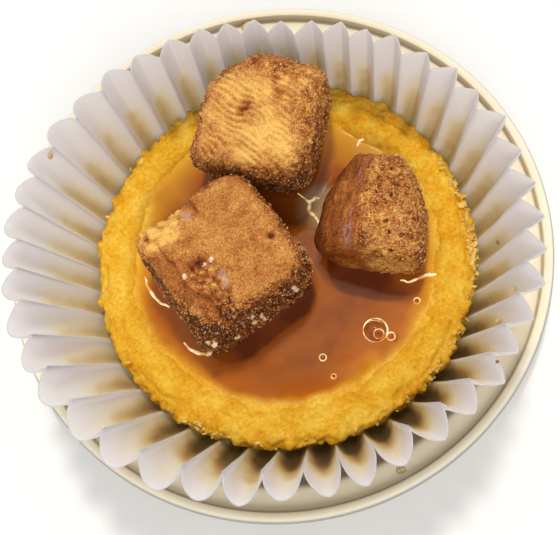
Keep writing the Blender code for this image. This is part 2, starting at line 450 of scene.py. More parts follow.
class NodeBench:
    """Lays out the nodes of one material round its Principled BSDF."""

    def __init__(self, name: str) -> None:
        """Makes the material.

        Args:
            name: Name of the material.
        """
        self.material = bpy.data.materials.new(name)
        self.material.use_nodes = True
        self.tree = self.material.node_tree
        self.shader = self.tree.nodes["Principled BSDF"]
        self.place = self.tree.nodes.new("ShaderNodeTexCoord").outputs["Object"]

    def node(self, kind: str, settings: dict[str, object], **inputs: object) -> bpy.types.Node:
        """Adds a node.

        Args:
            kind: Type of the node, without its ShaderNode prefix.
            settings: Values of the node's own properties.
            inputs: Values or sockets for its inputs, by name with _ for spaces, or by number as i0, i1.

        Returns:
            The node.
        """
        made = self.tree.nodes.new("ShaderNode" + kind)
        for key, value in settings.items():
            setattr(made, key, value)
        for key, value in inputs.items():
            known = key[1:].isdigit() and key[0] == "i"
            socket = made.inputs[int(key[1:])] if known else made.inputs[key.replace("_", " ")]
            self.put(socket, value)
        return made

    def put(self, socket: bpy.types.NodeSocket, value: object) -> None:
        """Links a socket to another, or sets its value.

        Args:
            socket: The input.
            value: A value, or the socket to link.
        """
        if isinstance(value, bpy.types.NodeSocket):
            self.tree.links.new(value, socket)
        elif isinstance(value, tuple) and len(value) == 3 and socket.type == "RGBA":
            socket.default_value = (*value, 1.0)
        else:
            socket.default_value = value

    def carried(self, name: str) -> bpy.types.NodeSocket:
        """The value of that name that the mesh's points carry."""
        return self.node("Attribute", {"attribute_name": name}).outputs["Fac"]

    def noise(self, size: float, detail: float = 3.0, roughness: float = 0.55) -> bpy.types.NodeSocket:
        """Noise with features of a size in mm, from 0 to 1.

        Args:
            size: Size of the features in mm.
            detail: How many finer layers are added.
            roughness: Their strength.

        Returns:
            The noise's socket.
        """
        made = self.node("TexNoise", {}, Vector=self.place, Scale=1.0 / (size * MM), Detail=detail,
                         Roughness=roughness)
        return made.outputs["Fac"]

    def cells(self, size: float) -> bpy.types.NodeSocket:
        """Distance to the nearest of the grains that lie a size in mm apart."""
        return self.node("TexVoronoi", {}, Vector=self.place, Scale=1.0 / (size * MM)).outputs["Distance"]

    def maths(self, operation: str, first: object, second: object = 0.0) -> bpy.types.NodeSocket:
        """Reckons with two values or sockets.

        Args:
            operation: Its name; a plus sign at its end keeps the result within 0 and 1.
            first: The first value.
            second: The second value.

        Returns:
            The result's socket.
        """
        settings = {"operation": operation.rstrip("+"), "use_clamp": operation.endswith("+")}
        return self.node("Math", settings, i0=first, i1=second).outputs[0]

    def ramp(self, factor: object, *stops: tuple[float, Rgb]) -> bpy.types.NodeSocket:
        """Colours along a factor.

        Args:
            factor: The value from 0 to 1 that picks the colour.
            stops: Places along the factor with their colours.

        Returns:
            The colour's socket.
        """
        made = self.node("ValToRGB", {}, Fac=factor)
        band = made.color_ramp.elements
        while len(band) < len(stops):
            band.new(0.5)
        for element, (place, color) in zip(band, stops):
            element.position = place
            element.color = (*color, 1.0)
        return made.outputs["Color"]

    def mix(self, factor: object, first: object, second: object) -> bpy.types.NodeSocket:
        """Two colours mixed by a factor."""
        return self.node("Mix", {"data_type": "RGBA"}, i0=factor, i6=first, i7=second).outputs[2]

    def spread(self, value: object, *ends: float) -> bpy.types.NodeSocket:
        """Maps a value from the range of the first two ends onto that of the last two, held at both."""
        inputs = {f"i{number}": end for number, end in enumerate(ends, start=1)}
        return self.node("MapRange", {}, Value=value, **inputs).outputs["Result"]

    def bump(self, height: object, depth: float, strength: float = 1.0) -> bpy.types.NodeSocket:
        """Fine relief from a height, with a depth in mm."""
        made = self.node("Bump", {}, Strength=strength, Distance=depth * MM, Height=height)
        return made.outputs["Normal"]

    def done(self, **sockets: object) -> bpy.types.Material:
        """Sets the shader's inputs.

        Args:
            sockets: Values or sockets for the shader's inputs, by name with _ for spaces.

        Returns:
            The material.
        """
        for key, value in sockets.items():
            self.put(self.shader.inputs[key.replace("_", " ")], value)
        return self.material


@dataclass(frozen=True)
class MetalFinish:
    """Champagne coloured, satin sheet metal, with painted shade in its groove and well and a painted bluish
    reflection on its rim.
    """

    light: Rgb = (1.0, 0.91, 0.70)
    deep: Rgb = (0.98, 0.87, 0.64)
    # Painted shade for the groove and the well.
    shaded: Rgb = (0.24, 0.18, 0.12)
    # Painted dark, bluish reflection on the outer side of the rolled bead.
    painted_rim_reflection: Rgb = (0.20, 0.23, 0.28)
    roughness: float = 0.42

    def build(self) -> bpy.types.Material:
        """Soft clouds of tone, the carried painted shade of the groove and well, the carried painted rim
        reflection, and a fine grain in the gloss.

        Returns:
            The material.
        """
        bench = NodeBench("dish_metal")
        cloud = bench.noise(9.0, 2.0)
        grain = bench.noise(0.35, 4.0, 0.7)
        sheet = bench.ramp(cloud, (0.3, self.deep), (0.7, self.light))
        # The groove value paints shade into the groove and the well; the rim value paints a bluish reflection
        # on the bead.
        grooved = bench.mix(bench.carried("groove"), sheet, self.shaded)
        color = bench.mix(bench.carried("rim"), grooved, self.painted_rim_reflection)
        rough = bench.spread(grain, 0.2, 0.8, self.roughness - 0.08, self.roughness + 0.14)
        brushed = bench.bump(grain, 0.02, 0.3)
        return bench.done(Base_Color=color, Metallic=0.1, Roughness=rough, Normal=brushed)


@dataclass(frozen=True)
class PaperFinish:
    """White baking paper, stained by butter down in its folds, where shade is painted too."""

    clean: Rgb = (0.76, 0.73, 0.75)
    cream: Rgb = (0.71, 0.62, 0.47)
    tan: Rgb = (0.50, 0.36, 0.17)
    olive: Rgb = (0.20, 0.115, 0.032)
    # Darkest stop: butter staining deepened by painted shade in the folds beside the pudding.
    darkest_stain_and_shade: Rgb = (0.05, 0.024, 0.006)
    # Painted shade that dulls the lit cut edge at the rim.
    lip: Rgb = (0.47, 0.44, 0.44)
    fibre: float = 0.25

    def build(self) -> bpy.types.Material:
        """The carried staining and painted shade run from clean over cream and tan to nearly black, and
        fibres mottle it.

        Returns:
            The material.
        """
        bench = NodeBench("case_paper")
        fibres = bench.noise(self.fibre, 4.0, 0.7)
        blotch = bench.noise(3.0, 3.0)
        stain_and_shade = bench.maths("ADD+", bench.carried("stain_and_shade"), bench.spread(blotch, 0.3, 0.7, -0.04, 0.04))
        shades = (self.clean, self.cream, self.tan, self.olive, self.darkest_stain_and_shade)
        color = bench.ramp(stain_and_shade, *zip((0.0, 0.28, 0.56, 0.82, 1.0), shades))
        mottled = bench.mix(bench.spread(fibres, 0.3, 0.7, 0.0, 0.06), color, (0.5, 0.42, 0.32))
        # The top row is dulled by painted shade.
        edged = bench.mix(bench.carried("lip"), mottled, self.lip)
        rough = bench.spread(stain_and_shade, 0.2, 0.9, 0.72, 0.5)
        relief = bench.bump(fibres, 0.03, 0.35)
        return bench.done(Base_Color=edged, Roughness=rough, Specular_IOR_Level=0.2, Normal=relief,
                          Subsurface_Weight=0.6, Subsurface_Scale=0.001, Subsurface_Radius=(1.0, 0.9, 0.75))


@dataclass(frozen=True)
class SpongeFinish:
    """Moist golden crumb, soaked amber beside the caramel, brown down its side with painted shade there and
    in its hollows.
    """

    pale: Rgb = (0.95, 0.67, 0.09)
    golden: Rgb = (0.86, 0.45, 0.014)
    amber: Rgb = (0.72, 0.29, 0.004)
    soaked: Rgb = (0.68, 0.265, 0.005)
    # Brown of the crust, also used as painted shade.
    browned_and_shaded: Rgb = (0.33, 0.14, 0.012)

    def body(self, bench: NodeBench, crumb: bpy.types.NodeSocket) -> bpy.types.NodeSocket:
        """The crumb's colours.

        Args:
            bench: The bench to lay the nodes on.
            crumb: Fine noise, the grain of the crumb.

        Returns:
            The colour: amber over golden to pale, by the crumb's noise and slow clouds.
        """
        cloud = bench.noise(3.5, 3.0)
        tone = bench.maths("ADD", bench.maths("MULTIPLY", crumb, 0.55), bench.maths("MULTIPLY", cloud, 0.45))
        return bench.ramp(tone, (0.36, self.amber), (0.48, self.golden), (0.64, self.pale))

    def build(self) -> bpy.types.Material:
        """The carried soak and the carried browning with painted shade tint a crumb of two grain sizes, with
        moist glints in it.

        Returns:
            The material.
        """
        bench = NodeBench("pudding_sponge")
        crumb = bench.noise(0.5, 4.0, 0.7)
        wet = bench.mix(bench.carried("soak"), self.body(bench, crumb), self.soaked)
        # The brown value mixes in browning and painted shade.
        color = bench.mix(bench.carried("brown"), wet, self.browned_and_shaded)
        rough = bench.spread(crumb, 0.46, 0.60, 0.55, 0.18)
        return bench.done(Base_Color=color, Roughness=rough, Normal=bench.bump(crumb, 0.20, 0.7),
                          Specular_IOR_Level=0.35, Subsurface_Weight=0.15, Subsurface_Scale=0.0012,
                          Subsurface_Radius=(1.0, 0.5, 0.1))


@dataclass(frozen=True)
class CaramelFinish:
    """Glossy caramel, amber at its thin edge and brown where it is deep, with painted shadows in front of the
    bites and a painted reflection between them.
    """

    edge: Rgb = (0.74, 0.32, 0.010)
    middle: Rgb = (0.45, 0.110, 0.003)
    deep: Rgb = (0.32, 0.074, 0.003)
    # Painted shadow of the bites, the darkest stop of the depth.
    gathered: Rgb = (0.14, 0.022, 0.001)
    # Painted reflection between the bites.
    film: Rgb = (0.55, 0.39, 0.21)

    def build(self) -> bpy.types.Material:
        """The carried depth, which holds the painted shadows of the bites, picks the colour, with slow clouds
        in it; the carried film paints a reflection between the bites; the thin edge is less glossy.

        Returns:
            The material.
        """
        bench = NodeBench("caramel_sauce")
        cloud = bench.spread(bench.noise(7.0, 2.0), 0.3, 0.7, 0.88, 1.12)
        depth = bench.maths("MULTIPLY+", bench.carried("depth"), cloud)
        shades = (self.edge, self.middle, self.deep, self.gathered)
        sauce = bench.ramp(depth, *zip((0.0, 0.42, 0.8, 1.0), shades))
        # Painted reflection mixed in between the bites.
        cloudy = bench.mix(bench.carried("film"), sauce, self.film)
        grain = bench.noise(0.5, 4.0, 0.7)
        crumb = SpongeFinish().body(bench, grain)
        thin = bench.carried("thin")
        color = bench.mix(thin, cloudy, crumb)
        rough = bench.spread(thin, 0.2, 1.0, 0.04, 0.30)
        height = bench.maths("MULTIPLY", grain, bench.spread(thin, 0.5, 1.0, 0.03, 1.0))
        return bench.done(Base_Color=color, Roughness=rough, IOR=1.47, Normal=bench.bump(height, 0.15, 0.6))


@dataclass(frozen=True)
class CrustFinish:
    """Browned, sugared crumb, from golden over caramel brown to nearly black, with a painted purplish sheen
    where it is glazed.
    """

    golden: Rgb = (0.84, 0.50, 0.12)
    toasted: Rgb = (0.56, 0.24, 0.055)
    # A ramp stop for brown crust and for painted shade.
    browned_and_shaded: Rgb = (0.31, 0.080, 0.012)
    dark: Rgb = (0.05, 0.014, 0.005)
    dusted: Rgb = (0.78, 0.47, 0.20)
    # Painted sheen, mixed in where the crust is glossiest.
    painted_lilac_sheen: Rgb = (0.60, 0.38, 0.35)
    roughness: float = 0.6

    def build(self) -> bpy.types.Material:
        """The carried tone, which holds painted shade, picks the colour; where there is grit, specks and
        sugar dust break it up; a painted sheen goes where it is glazed.

        Returns:
            The material.
        """
        bench = NodeBench("bite_crust")
        grit = bench.carried("grit")
        speck = bench.noise(0.26, 3.0, 0.8)
        cloud = bench.spread(bench.noise(1.6, 3.0), 0.3, 0.7, -0.10, 0.10)
        spread = bench.spread(grit, 0.0, 1.0, 1.1, 2.2)
        centred = bench.maths("SUBTRACT", speck, 0.5)
        shift = bench.maths("ADD", bench.maths("MULTIPLY", centred, spread), cloud)
        tone = bench.maths("ADD+", bench.carried("tone"), shift)
        shades = (self.golden, self.toasted, self.browned_and_shaded, self.dark)
        color = bench.ramp(tone, *zip((0.0, 0.36, 0.66, 1.0), shades))
        dots = bench.spread(bench.cells(0.42), 0.12, 0.34, 0.75, 0.0)
        dusty = bench.mix(bench.maths("MULTIPLY", dots, grit), color, self.dusted)
        # This value sets the gloss and, where high, paints a purplish sheen.
        glaze_and_sheen = bench.carried("glaze_and_sheen")
        with_painted_sheen = bench.mix(bench.spread(glaze_and_sheen, 0.6, 1.0, 0.0, 0.45), dusty, self.painted_lilac_sheen)
        rough = bench.spread(glaze_and_sheen, 0.0, 1.0, self.roughness, 0.3)
        height = bench.maths("ADD", speck, bench.maths("MULTIPLY", dots, 0.5))
        return bench.done(Base_Color=with_painted_sheen, Roughness=rough, Specular_IOR_Level=0.22,
                          Normal=bench.bump(height, 0.14, 0.7))


@dataclass(frozen=True)
class SugarFinish:
    """Pale, cloudy sugar grains."""

    name: str = "sugar_grain"
    pale: Rgb = (0.76, 0.49, 0.22)
    amber: Rgb = (0.44, 0.18, 0.045)

    def build(self) -> bpy.types.Material:
        """Whole grains differ in tone, by noise coarser than they are.

        Returns:
            The material.
        """
        bench = NodeBench(self.name)
        color = bench.ramp(bench.noise(0.6, 2.0), (0.40, self.amber), (0.62, self.pale))
        return bench.done(Base_Color=color, Roughness=0.3, Specular_IOR_Level=0.3,
                          Normal=bench.bump(bench.noise(0.15), 0.02, 0.3))


@dataclass(frozen=True)
class FilmFinish:
    """The clear, thin film of a bubble."""

    tint: Rgb = (0.98, 0.80, 0.55)

    def build(self) -> bpy.types.Material:
        """A clear film whose tint drifts a little.

        Returns:
            The material.
        """
        bench = NodeBench("bubble_film")
        color = bench.ramp(bench.noise(1.0), (0.3, self.tint), (0.7, (1.0, 0.9, 0.72)))
        return bench.done(Base_Color=color, Roughness=0.02, IOR=1.33, Transmission_Weight=1.0)


@dataclass(frozen=True)
class GlintFinish:
    """Painted glints: pale, faintly glowing caramel, amber in places."""

    pale: Rgb = (1.0, 0.88, 0.55)
    amber: Rgb = (0.70, 0.34, 0.06)

    def build(self) -> bpy.types.Material:
        """Pale and amber stretches by noise, glossy all over, with a faint glow that paints the glints.

        Returns:
            The material.
        """
        bench = NodeBench("caramel_painted_glint")
        color = bench.ramp(bench.noise(1.5, 2.0), (0.42, self.amber), (0.56, self.pale))
        # The faint glow paints the glints.
        return bench.done(Base_Color=color, Emission_Color=color, Emission_Strength=0.4, Roughness=0.15,
                          Normal=bench.bump(bench.noise(0.4), 0.03, 0.5))


@dataclass(frozen=True)
class StrayFinish:
    """Stray crumbs of sponge and caramel, golden to burnt."""

    name: str = "stray_crumb"
    golden: Rgb = (0.80, 0.58, 0.26)
    burnt: Rgb = (0.20, 0.07, 0.015)

    def build(self) -> bpy.types.Material:
        """The carried tone and fine noise pick the colour.

        Returns:
            The material.
        """
        bench = NodeBench(self.name)
        speck = bench.noise(0.4, 3.0, 0.7)
        tone = bench.maths("ADD+", bench.carried("tone"), bench.spread(speck, 0.3, 0.7, -0.15, 0.15))
        color = bench.ramp(tone, (0.0, self.golden), (1.0, self.burnt))
        return bench.done(Base_Color=color, Roughness=0.4, Normal=bench.bump(speck, 0.1, 0.5))


@dataclass(frozen=True)
class SyrupFinish:
    """A clear, pale drop of syrup."""

    clear: Rgb = (0.96, 0.86, 0.62)
    honey: Rgb = (0.92, 0.74, 0.42)

    def build(self) -> bpy.types.Material:
        """A clear body whose tint drifts a little.

        Returns:
            The material.
        """
        bench = NodeBench("syrup_drop")
        color = bench.ramp(bench.noise(0.8), (0.35, self.honey), (0.65, self.clear))
        return bench.done(Base_Color=color, Roughness=0.04, IOR=1.47, Transmission_Weight=0.7)


# The dish


@dataclass
class MetalDish:
    """A pressed plate: a shallow well, a step up to a flat ledge, and a rolled bead at the rim."""

    radius: float = 44.8
    bead_radius: float = 1.1
    bead_height: float = 4.2
    sheet: float = 0.9
    ledge_top: float = 3.5
    ledge_inner: float = 39.6
    well_radius: float = 38.2
    step_run: float = 0.7
    blend: float = 0.3
    groove: float = 42.9
    steps: int = 256
    finish: MetalFinish = MetalFinish()

    def profile(self) -> Array:
        """The profile, out along the underside, round the bead and in over the top.

        Returns:
            Rows of radius and height.
        """
        bead = self.radius - self.bead_radius
        under_ledge = self.ledge_top - self.sheet
        foot = self.well_radius + self.blend
        turn = np.radians(np.linspace(-90.0, 126.0, 24))
        circle = np.column_stack([np.cos(turn), np.sin(turn)])
        roll = np.array([[bead, self.bead_height]]) + self.bead_radius * circle
        under = [(0.4 * self.well_radius, 0.0), (foot - 1.0, 0.0), (foot, 0.0),
                 (self.ledge_inner + self.blend, under_ledge), (bead - self.bead_radius, under_ledge)]
        # Over the top, each place is given from an edge: how far outside its radius, and how far above it.
        outer = ((0.13, 1.0), (0.10, 0.25), (0.0, -0.05), (-0.25, 0.0))
        ledge = ((0.6, 0.0), (0.15, -0.04), (-0.25, -0.2), (-self.step_run, -0.7))
        well = ((0.1, 0.7), (-0.3, 0.2), (-self.step_run, 0.04), (-1.4, 0.0))
        edges = ((self.groove, self.ledge_top, outer), (self.ledge_inner, self.ledge_top, ledge),
                 (self.well_radius, self.sheet, well))
        over = [(radius + out, height + up) for radius, height, places in edges for out, up in places]
        over += [(0.9 * self.well_radius, self.sheet), (0.4 * self.well_radius, self.sheet)]
        return np.concatenate([under, roll, over])

    def build(self) -> bpy.types.Object:
        """The profile turned about the dish's axis, with painted shade in its groove and well and a painted
        bluish reflection on its rim.

        Returns:
            The piece.
        """
        profile = self.profile()
        rings = lathe(profile[:, :1], profile[:, 1:], self.steps)
        surface = Surface.of_rings(rings, (0.0, 0.0, 0.0), (0.0, 0.0, self.sheet))
        x, y, height = surface.points.T
        reach = np.hypot(x, y)
        far = ease(y, -20.0, 20.0)
        near = ease(-y, 14.0, 36.0)
        # Painted shade: a dark line in the groove, stronger at the far side where the bead's inner wall is
        # seen, and shade over the well, darkest at the front under the case.
        groove = np.exp(-(((reach - self.groove - 0.07) / 0.10) ** 2)) * (height > self.ledge_top - 0.3)
        well = (0.12 + 0.45 * near) * (1.0 - ease(reach, self.ledge_inner - 0.5, self.ledge_inner - 0.1))
        surface.values["groove"] = np.clip((0.65 + 0.25 * far) * groove + well, 0.0, 1.0)
        # Painted bluish reflection: strong on the bead's outer side, faint over the bead.
        outline = ease(reach, self.radius - 0.5, self.radius - 0.15)
        surface.values["rim"] = 0.08 * ease(reach, 43.1, 43.5) + 0.75 * outline
        return surface.to_piece("dish_plate", self.finish.build(), Slot.DISH, "dish")


# The paper case


@dataclass
class PaperCase:
    """A baking case of 44 pleats, leaning out more to the left and front than to the back."""

    centre: Place = PUDDING_MIDDLE
    foot_radius: float = 27.0
    foot_height: float = 1.2
    base_ring: float = 25.2
    knee_radius: float = 31.9
    knee_height: float = 13.2
    knee_row: float = 0.44
    free_wall: float = 16.0
    free_wall_radius: float = 31.2
    pleats: int = 44
    points_per_pleat: int = 20
    rows: int = 34
    lobe_power: float = 0.8
    depth_foot: float = 0.25
    depth_knee: float = 1.7
    depth_rim: float = 3.3
    depth_terms: tuple[Place, ...] = ((-0.4, -0.9),)
    flare: float = 18.9
    flare_terms: tuple[Place, ...] = ((-6.9, -10.5), (5.7, -1.9))
    first_pleat: float = -33.5
    spacing_terms: tuple[Place, ...] = ((0.8, -2.6), (-0.7, -0.1), (0.1, 1.3), (-0.8, -0.3), (0.3, 0.4))
    uneven_azimuth: float = 0.8
    uneven_lean: float = 1.6
    uneven_depth: float = 0.3
    stain_row: float = 0.42
    wash: float = 0.30
    # The extra wash at the front is painted shade.
    front_shade: float = 0.86
    wash_fade: float = 1.65
    band: float = 0.27
    waver: float = 0.06
    thickness: float = 0.14
    seed: int = 5
    finish: PaperFinish = PaperFinish()

    def wall(self) -> tuple[Array, Array, Array]:
        """The wall's outer face.

        Each pleat's outer fold lies on the wall, and the rest is set back along the wall's normal. The
        share of the pleat's depth is one minus a power of the cosine of half a turn across it, a rounded
        lobe, mixed with a plain zigzag that is stronger on the right.

        Returns:
            The points by row and place round the wall, the share of the way up, and the pleats' phase.
        """
        count = self.pleats * self.points_per_pleat
        steady = math.radians(self.first_pleat) + 2.0 * math.pi * np.arange(count) / count
        phase = np.arange(count) / self.points_per_pleat
        rng = np.random.default_rng(self.seed)
        knots = np.arange(self.pleats + 1)
        draws = rng.uniform(-1.0, 1.0, (3, self.pleats))
        wobble = [np.interp(phase, knots, np.append(draw, draw[0])) for draw in draws]
        row = np.append(np.linspace(0.0, 0.994, self.rows - 1), 1.0)[:, None]
        low = np.clip(row / self.knee_row, 0.0, 1.0)
        high = np.clip((row - self.knee_row) / (1.0 - self.knee_row), 0.0, 1.0)
        spacing = harmonics(steady, self.spacing_terms) + self.uneven_azimuth * wobble[0] * high
        azimuth = steady + np.radians(spacing)
        flare = harmonics(steady, self.flare_terms) + self.uneven_lean * wobble[1]
        lean = np.radians(self.flare + flare)
        rim_radius = self.free_wall_radius + self.free_wall * np.sin(lean)
        rim_height = self.knee_height + self.free_wall * np.cos(lean)
        rise = self.knee_height - self.foot_height
        run = self.knee_radius - self.foot_radius
        radius = self.foot_radius + run * low + (rim_radius - self.knee_radius) * high
        height = self.foot_height + rise * low + (rim_height - self.knee_height) * high
        rim_depth = self.depth_rim + harmonics(steady, self.depth_terms) + self.uneven_depth * wobble[2]
        deeper = (self.depth_knee - self.depth_foot) * low
        depth = self.depth_foot + deeper + (rim_depth - self.depth_knee) * high
        low_slope = math.atan2(run, rise)
        slope = np.where(row > self.knee_row, lean, low_slope)
        pointed = np.clip(0.28 + 0.42 * np.cos(steady) + 0.14 * np.sin(steady), 0.0, 1.0)
        front = np.minimum(np.sin(steady), 0.0)
        left = np.minimum(np.cos(steady), 0.0)
        power = self.lobe_power + 0.25 * front + 0.15 * left
        lobe = 1.0 - np.abs(np.cos(math.pi * phase)) ** power
        zigzag = 2.0 * np.abs(phase - np.round(phase))
        inset = depth * (lobe + pointed * (zigzag - lobe))
        radius = radius - inset * np.cos(slope)
        height = height + inset * np.sin(slope)
        x = self.centre[0] + radius * np.cos(azimuth)
        y = self.centre[1] + radius * np.sin(azimuth)
        return np.stack([x, y, height], axis=-1), row + np.zeros_like(radius), phase + np.zeros_like(radius)

    def stain_and_shade(self, points: Array, row: Array, phase: Array) -> Array:
        """How dark the paper is: butter staining and painted shade together.

        A wash deepens downwards, most in the valleys of the pleats and at the front; it is butter staining
        with painted shade in it, the shade deepest at the front. A band low in each valley is added to it,
        with one sharp side on the left of the case, where it paints the shade of a fold over the valley.

        Args:
            points: The wall's points.
            row: Share of the way up the wall.
            phase: Phase of the pleats.

        Returns:
            The staining and painted shade from 0, clean, to 1.
        """
        valley = np.abs(np.cos(math.pi * phase))
        edge = 0.04 * fractal(points.reshape(-1, 3), 4.0, 3, 3).reshape(row.shape)
        front = ease((self.centre[1] - points[..., 1]) / self.knee_radius, 0.2, 1.0)
        up = np.clip((row + edge - self.stain_row) / (1.0 - self.stain_row), 0.0, 1.0)
        # The wash is butter staining with painted shade in it: deeper low down, in the valleys and at the
        # front.
        ridge = 0.25 + 0.25 * front
        wash = (self.wash + self.front_shade * front) * (1.0 - up) ** self.wash_fade
        wash = wash * (ridge + (1.0 - ridge) * valley)
        # The band paints the valleys' shade, with a sharp side on the left where a fold hides the valley.
        across = phase - np.round(phase)
        leftward = ease((self.centre[0] - points[..., 0]) / self.knee_radius, -0.3, 0.3)
        even = ease(valley, 0.15, 0.85)
        sharp = ease(across, -0.46, 0.08) * (1.0 - ease(across, 0.22, 0.34))
        band = (even + leftward * (sharp - even)) * (1.0 - ease(up + edge, 0.34, 0.62))
        return np.clip(wash + self.band * (1.0 - 0.7 * front) * band, 0.0, 1.0)

    def build(self) -> bpy.types.Object:
        """A base of rings, then the wall, thickened inwards.

        Returns:
            The piece.
        """
        wall, row, phase = self.wall()
        outward = wall[0] - np.array([*self.centre, 0.0])
        flat = []
        for radius in (0.35 * self.base_ring, 0.7 * self.base_ring, self.base_ring, self.foot_radius - 0.8):
            ring = outward / np.linalg.norm(outward[:, :2], axis=1, keepdims=True) * radius
            ring[:, :2] += self.centre
            ring[:, 2] = self.foot_height
            flat.append(ring)
        rings = np.concatenate([np.array(flat), wall])
        surface = Surface.of_rings(rings, (*self.centre, self.foot_height))
        # The base, under the pudding, takes the darkest staining and shade.
        stain_and_shade = np.concatenate([np.ones((len(flat), wall.shape[1])), self.stain_and_shade(wall, row, phase)])
        surface.values["stain_and_shade"] = np.append(stain_and_shade.ravel(), 1.0)
        # Only the top row takes the painted shade of the cut edge.
        surface.values["lip"] = np.zeros(len(surface.points))
        surface.values["lip"][-1 - wall.shape[1] : -1] = 1.0
        surface.raised(self.waver * fractal(surface.points, 6.0, 11, 3))
        piece = surface.to_piece("case_pleats", self.finish.build(), Slot.CASE, "paper_case")
        paper = piece.modifiers.new("paper", "SOLIDIFY")
        paper.thickness = self.thickness * MM
        paper.offset = -1.0
        return piece


# The pudding


def kept_inside(points: Array, centre: Place) -> Array:
    """Draws in the points that would poke through the inner folds of the paper case.

    Args:
        points: Points in mm.
        centre: The case's middle.

    Returns:
        The points, none farther from the middle than the folds, which lean out evenly up to the knee.
    """
    most = FOLD_FOOT + (FOLD_KNEE - FOLD_FOOT) * np.clip((points[:, 2] - 1.2) / 12.0, 0.0, 1.0)
    outward = points[:, :2] - np.array(centre)
    reach = np.maximum(np.hypot(outward[:, 0], outward[:, 1]), 1e-6)
    drawn = np.array(centre) + outward * (np.minimum(reach, most) / reach)[:, None]
    return np.column_stack([drawn, points[:, 2]])


@dataclass
class SpongePudding:
    """A shallow sponge disc with a recess in its top and a ragged crumb edge."""

    centre: Place = PUDDING_MIDDLE
    foot_radius: float = 25.9
    radius: float = 29.5
    foot: float = 1.8
    rim: float = 13.2
    recess_floor: float = 11.6
    recess_radius: float = 20.0
    rim_inner: float = 25.0
    swell: float = 62.0
    swell_out: float = 0.55
    swell_up: float = 0.75
    steps: int = 620
    finish: SpongeFinish = SpongeFinish()

    def profile(self) -> Array:
        """The profile, out under the foot, up the side and in over the rim and the recess.

        Returns:
            Rows of radius and height.
        """
        under = [(0.5 * self.foot_radius, self.foot), (self.foot_radius - 0.8, self.foot),
                 (self.foot_radius, self.foot + 0.8)]
        side = np.array([(26.5, 4.0), (27.6, 6.0), (28.1, 7.6), (28.6, 9.2), (29.1, 10.4), (29.5, 11.6),
                         (29.45, 12.2), (29.2, 12.7), (28.8, 13.0), (28.0, 13.2), (26.6, 13.2)])
        reach = np.concatenate([[0.0], np.cumsum(np.linalg.norm(np.diff(side, axis=0), axis=1))])
        fine = np.linspace(0.0, reach[-1], 46)
        wall = np.stack([np.interp(fine, reach, side[:, 0]), np.interp(fine, reach, side[:, 1])], axis=1)
        inward = np.concatenate([np.linspace(26.4, 18.5, 34), np.linspace(18.0, 2.0, 10)])
        top = np.stack([inward, self.top_height(inward)], axis=1)
        return np.concatenate([under, wall, top])

    def top_height(self, radius: Array) -> Array:
        """Height of the top: a flat recess floor that rises smoothly to the rim."""
        rise = self.rim - self.recess_floor
        return self.recess_floor + rise * ease(radius, self.recess_radius, self.rim_inner)

    def build(self) -> bpy.types.Object:
        """The turned profile with crumb relief: lumps, pits between grains, and a torn outer edge.

        Returns:
            The piece.
        """
        profile = self.profile()
        angle = 2.0 * math.pi * np.arange(self.steps) / self.steps
        swell = np.clip(np.cos(angle - math.radians(self.swell)), 0.0, 1.0) ** 3
        share = ease(profile[:, 1:], 6.0, 12.0) * ease(profile[:, :1], 20.0, 26.0) * swell
        radius = profile[:, :1] + self.swell_out * share
        rings = lathe(radius, profile[:, 1:] + self.swell_up * share, self.steps, self.centre)
        surface = Surface.of_rings(rings, (*self.centre, self.foot), (*self.centre, self.recess_floor))
        points = surface.points
        reach = np.hypot(points[:, 0] - self.centre[0], points[:, 1] - self.centre[1])
        height = points[:, 2]
        outer = ease(reach, 27.4, 29.2) * ease(height, 3.0, 8.0)
        crown = ease(reach, 22.2, 24.6) * ease(height, 11.9, 12.4)
        shore = ease(reach, 20.5, 22.5) * (1.0 - ease(reach, 25.0, 27.0)) * (height > 11.5)
        lumps = fractal(points, 2.2, 21, 4, 0.55)
        distance, value = grains(points, 1.5, 31)
        spike = np.clip(1.0 - distance, 0.0, 1.0) ** 2 * value
        fine_distance, fine_value = grains(points, 0.62, 41)
        fine = (1.0 - fine_distance) * (0.3 + 0.7 * fine_value)
        ridge = reach + 0.5 * fractal(points, 2.5, 57, 3)
        crevice = np.exp(-(((ridge - 27.7) / 0.22) ** 2)) * ease(height, 11.0, 12.0)
        crevice = crevice * ease(fractal(points, 6.0, 59, 2), -0.2, 0.3)
        torn = outer * (0.38 * lumps + 1.9 * spike - 0.45 + 0.40 * fine) - 0.5 * crevice
        wrinkles = fractal(points, 1.3, 25, 4, 0.6)
        soft = crown * (1.0 - outer) * (0.22 * wrinkles + 0.26 * fine - 0.12)
        surface.raised(torn + soft + 0.22 * shore * fractal(points, 4.5, 63, 3))
        surface.points = kept_inside(surface.points, self.centre)
        ragged = fractal(points, 3.0, 51, 3)
        soak = 0.45 * (1.0 - ease(reach + 0.6 * ragged, 23.2, 25.2))
        side = 1.0 - ease(height + 0.5 * ragged, 10.6, 12.2)
        surface.values["soak"] = np.clip(soak, 0.0, 1.0)
        # The brown value is the side's browning plus painted shade: more at the front, in the crumb's hollows
        # and in the crevice.
        hollow = outer * ease(CRUMB_MEAN - fine, 0.0, 0.35)
        near = ease((self.centre[1] - points[:, 1]) / self.radius, 0.2, 0.9)
        brown = (0.15 + 0.5 * near) * side + 0.10 * hollow + 0.3 * crevice
        surface.values["brown"] = np.clip(brown, 0.0, 0.9)
        return surface.to_piece("sponge_disc", self.finish.build(), Slot.SPONGE, "pudding")


# The bites


@dataclass(frozen=True)
class Dent:
    """A dent, or a bulge where its depth is negative, in the direction that it is seen from the middle."""

    toward: Triple
    reach: float
    depth: float


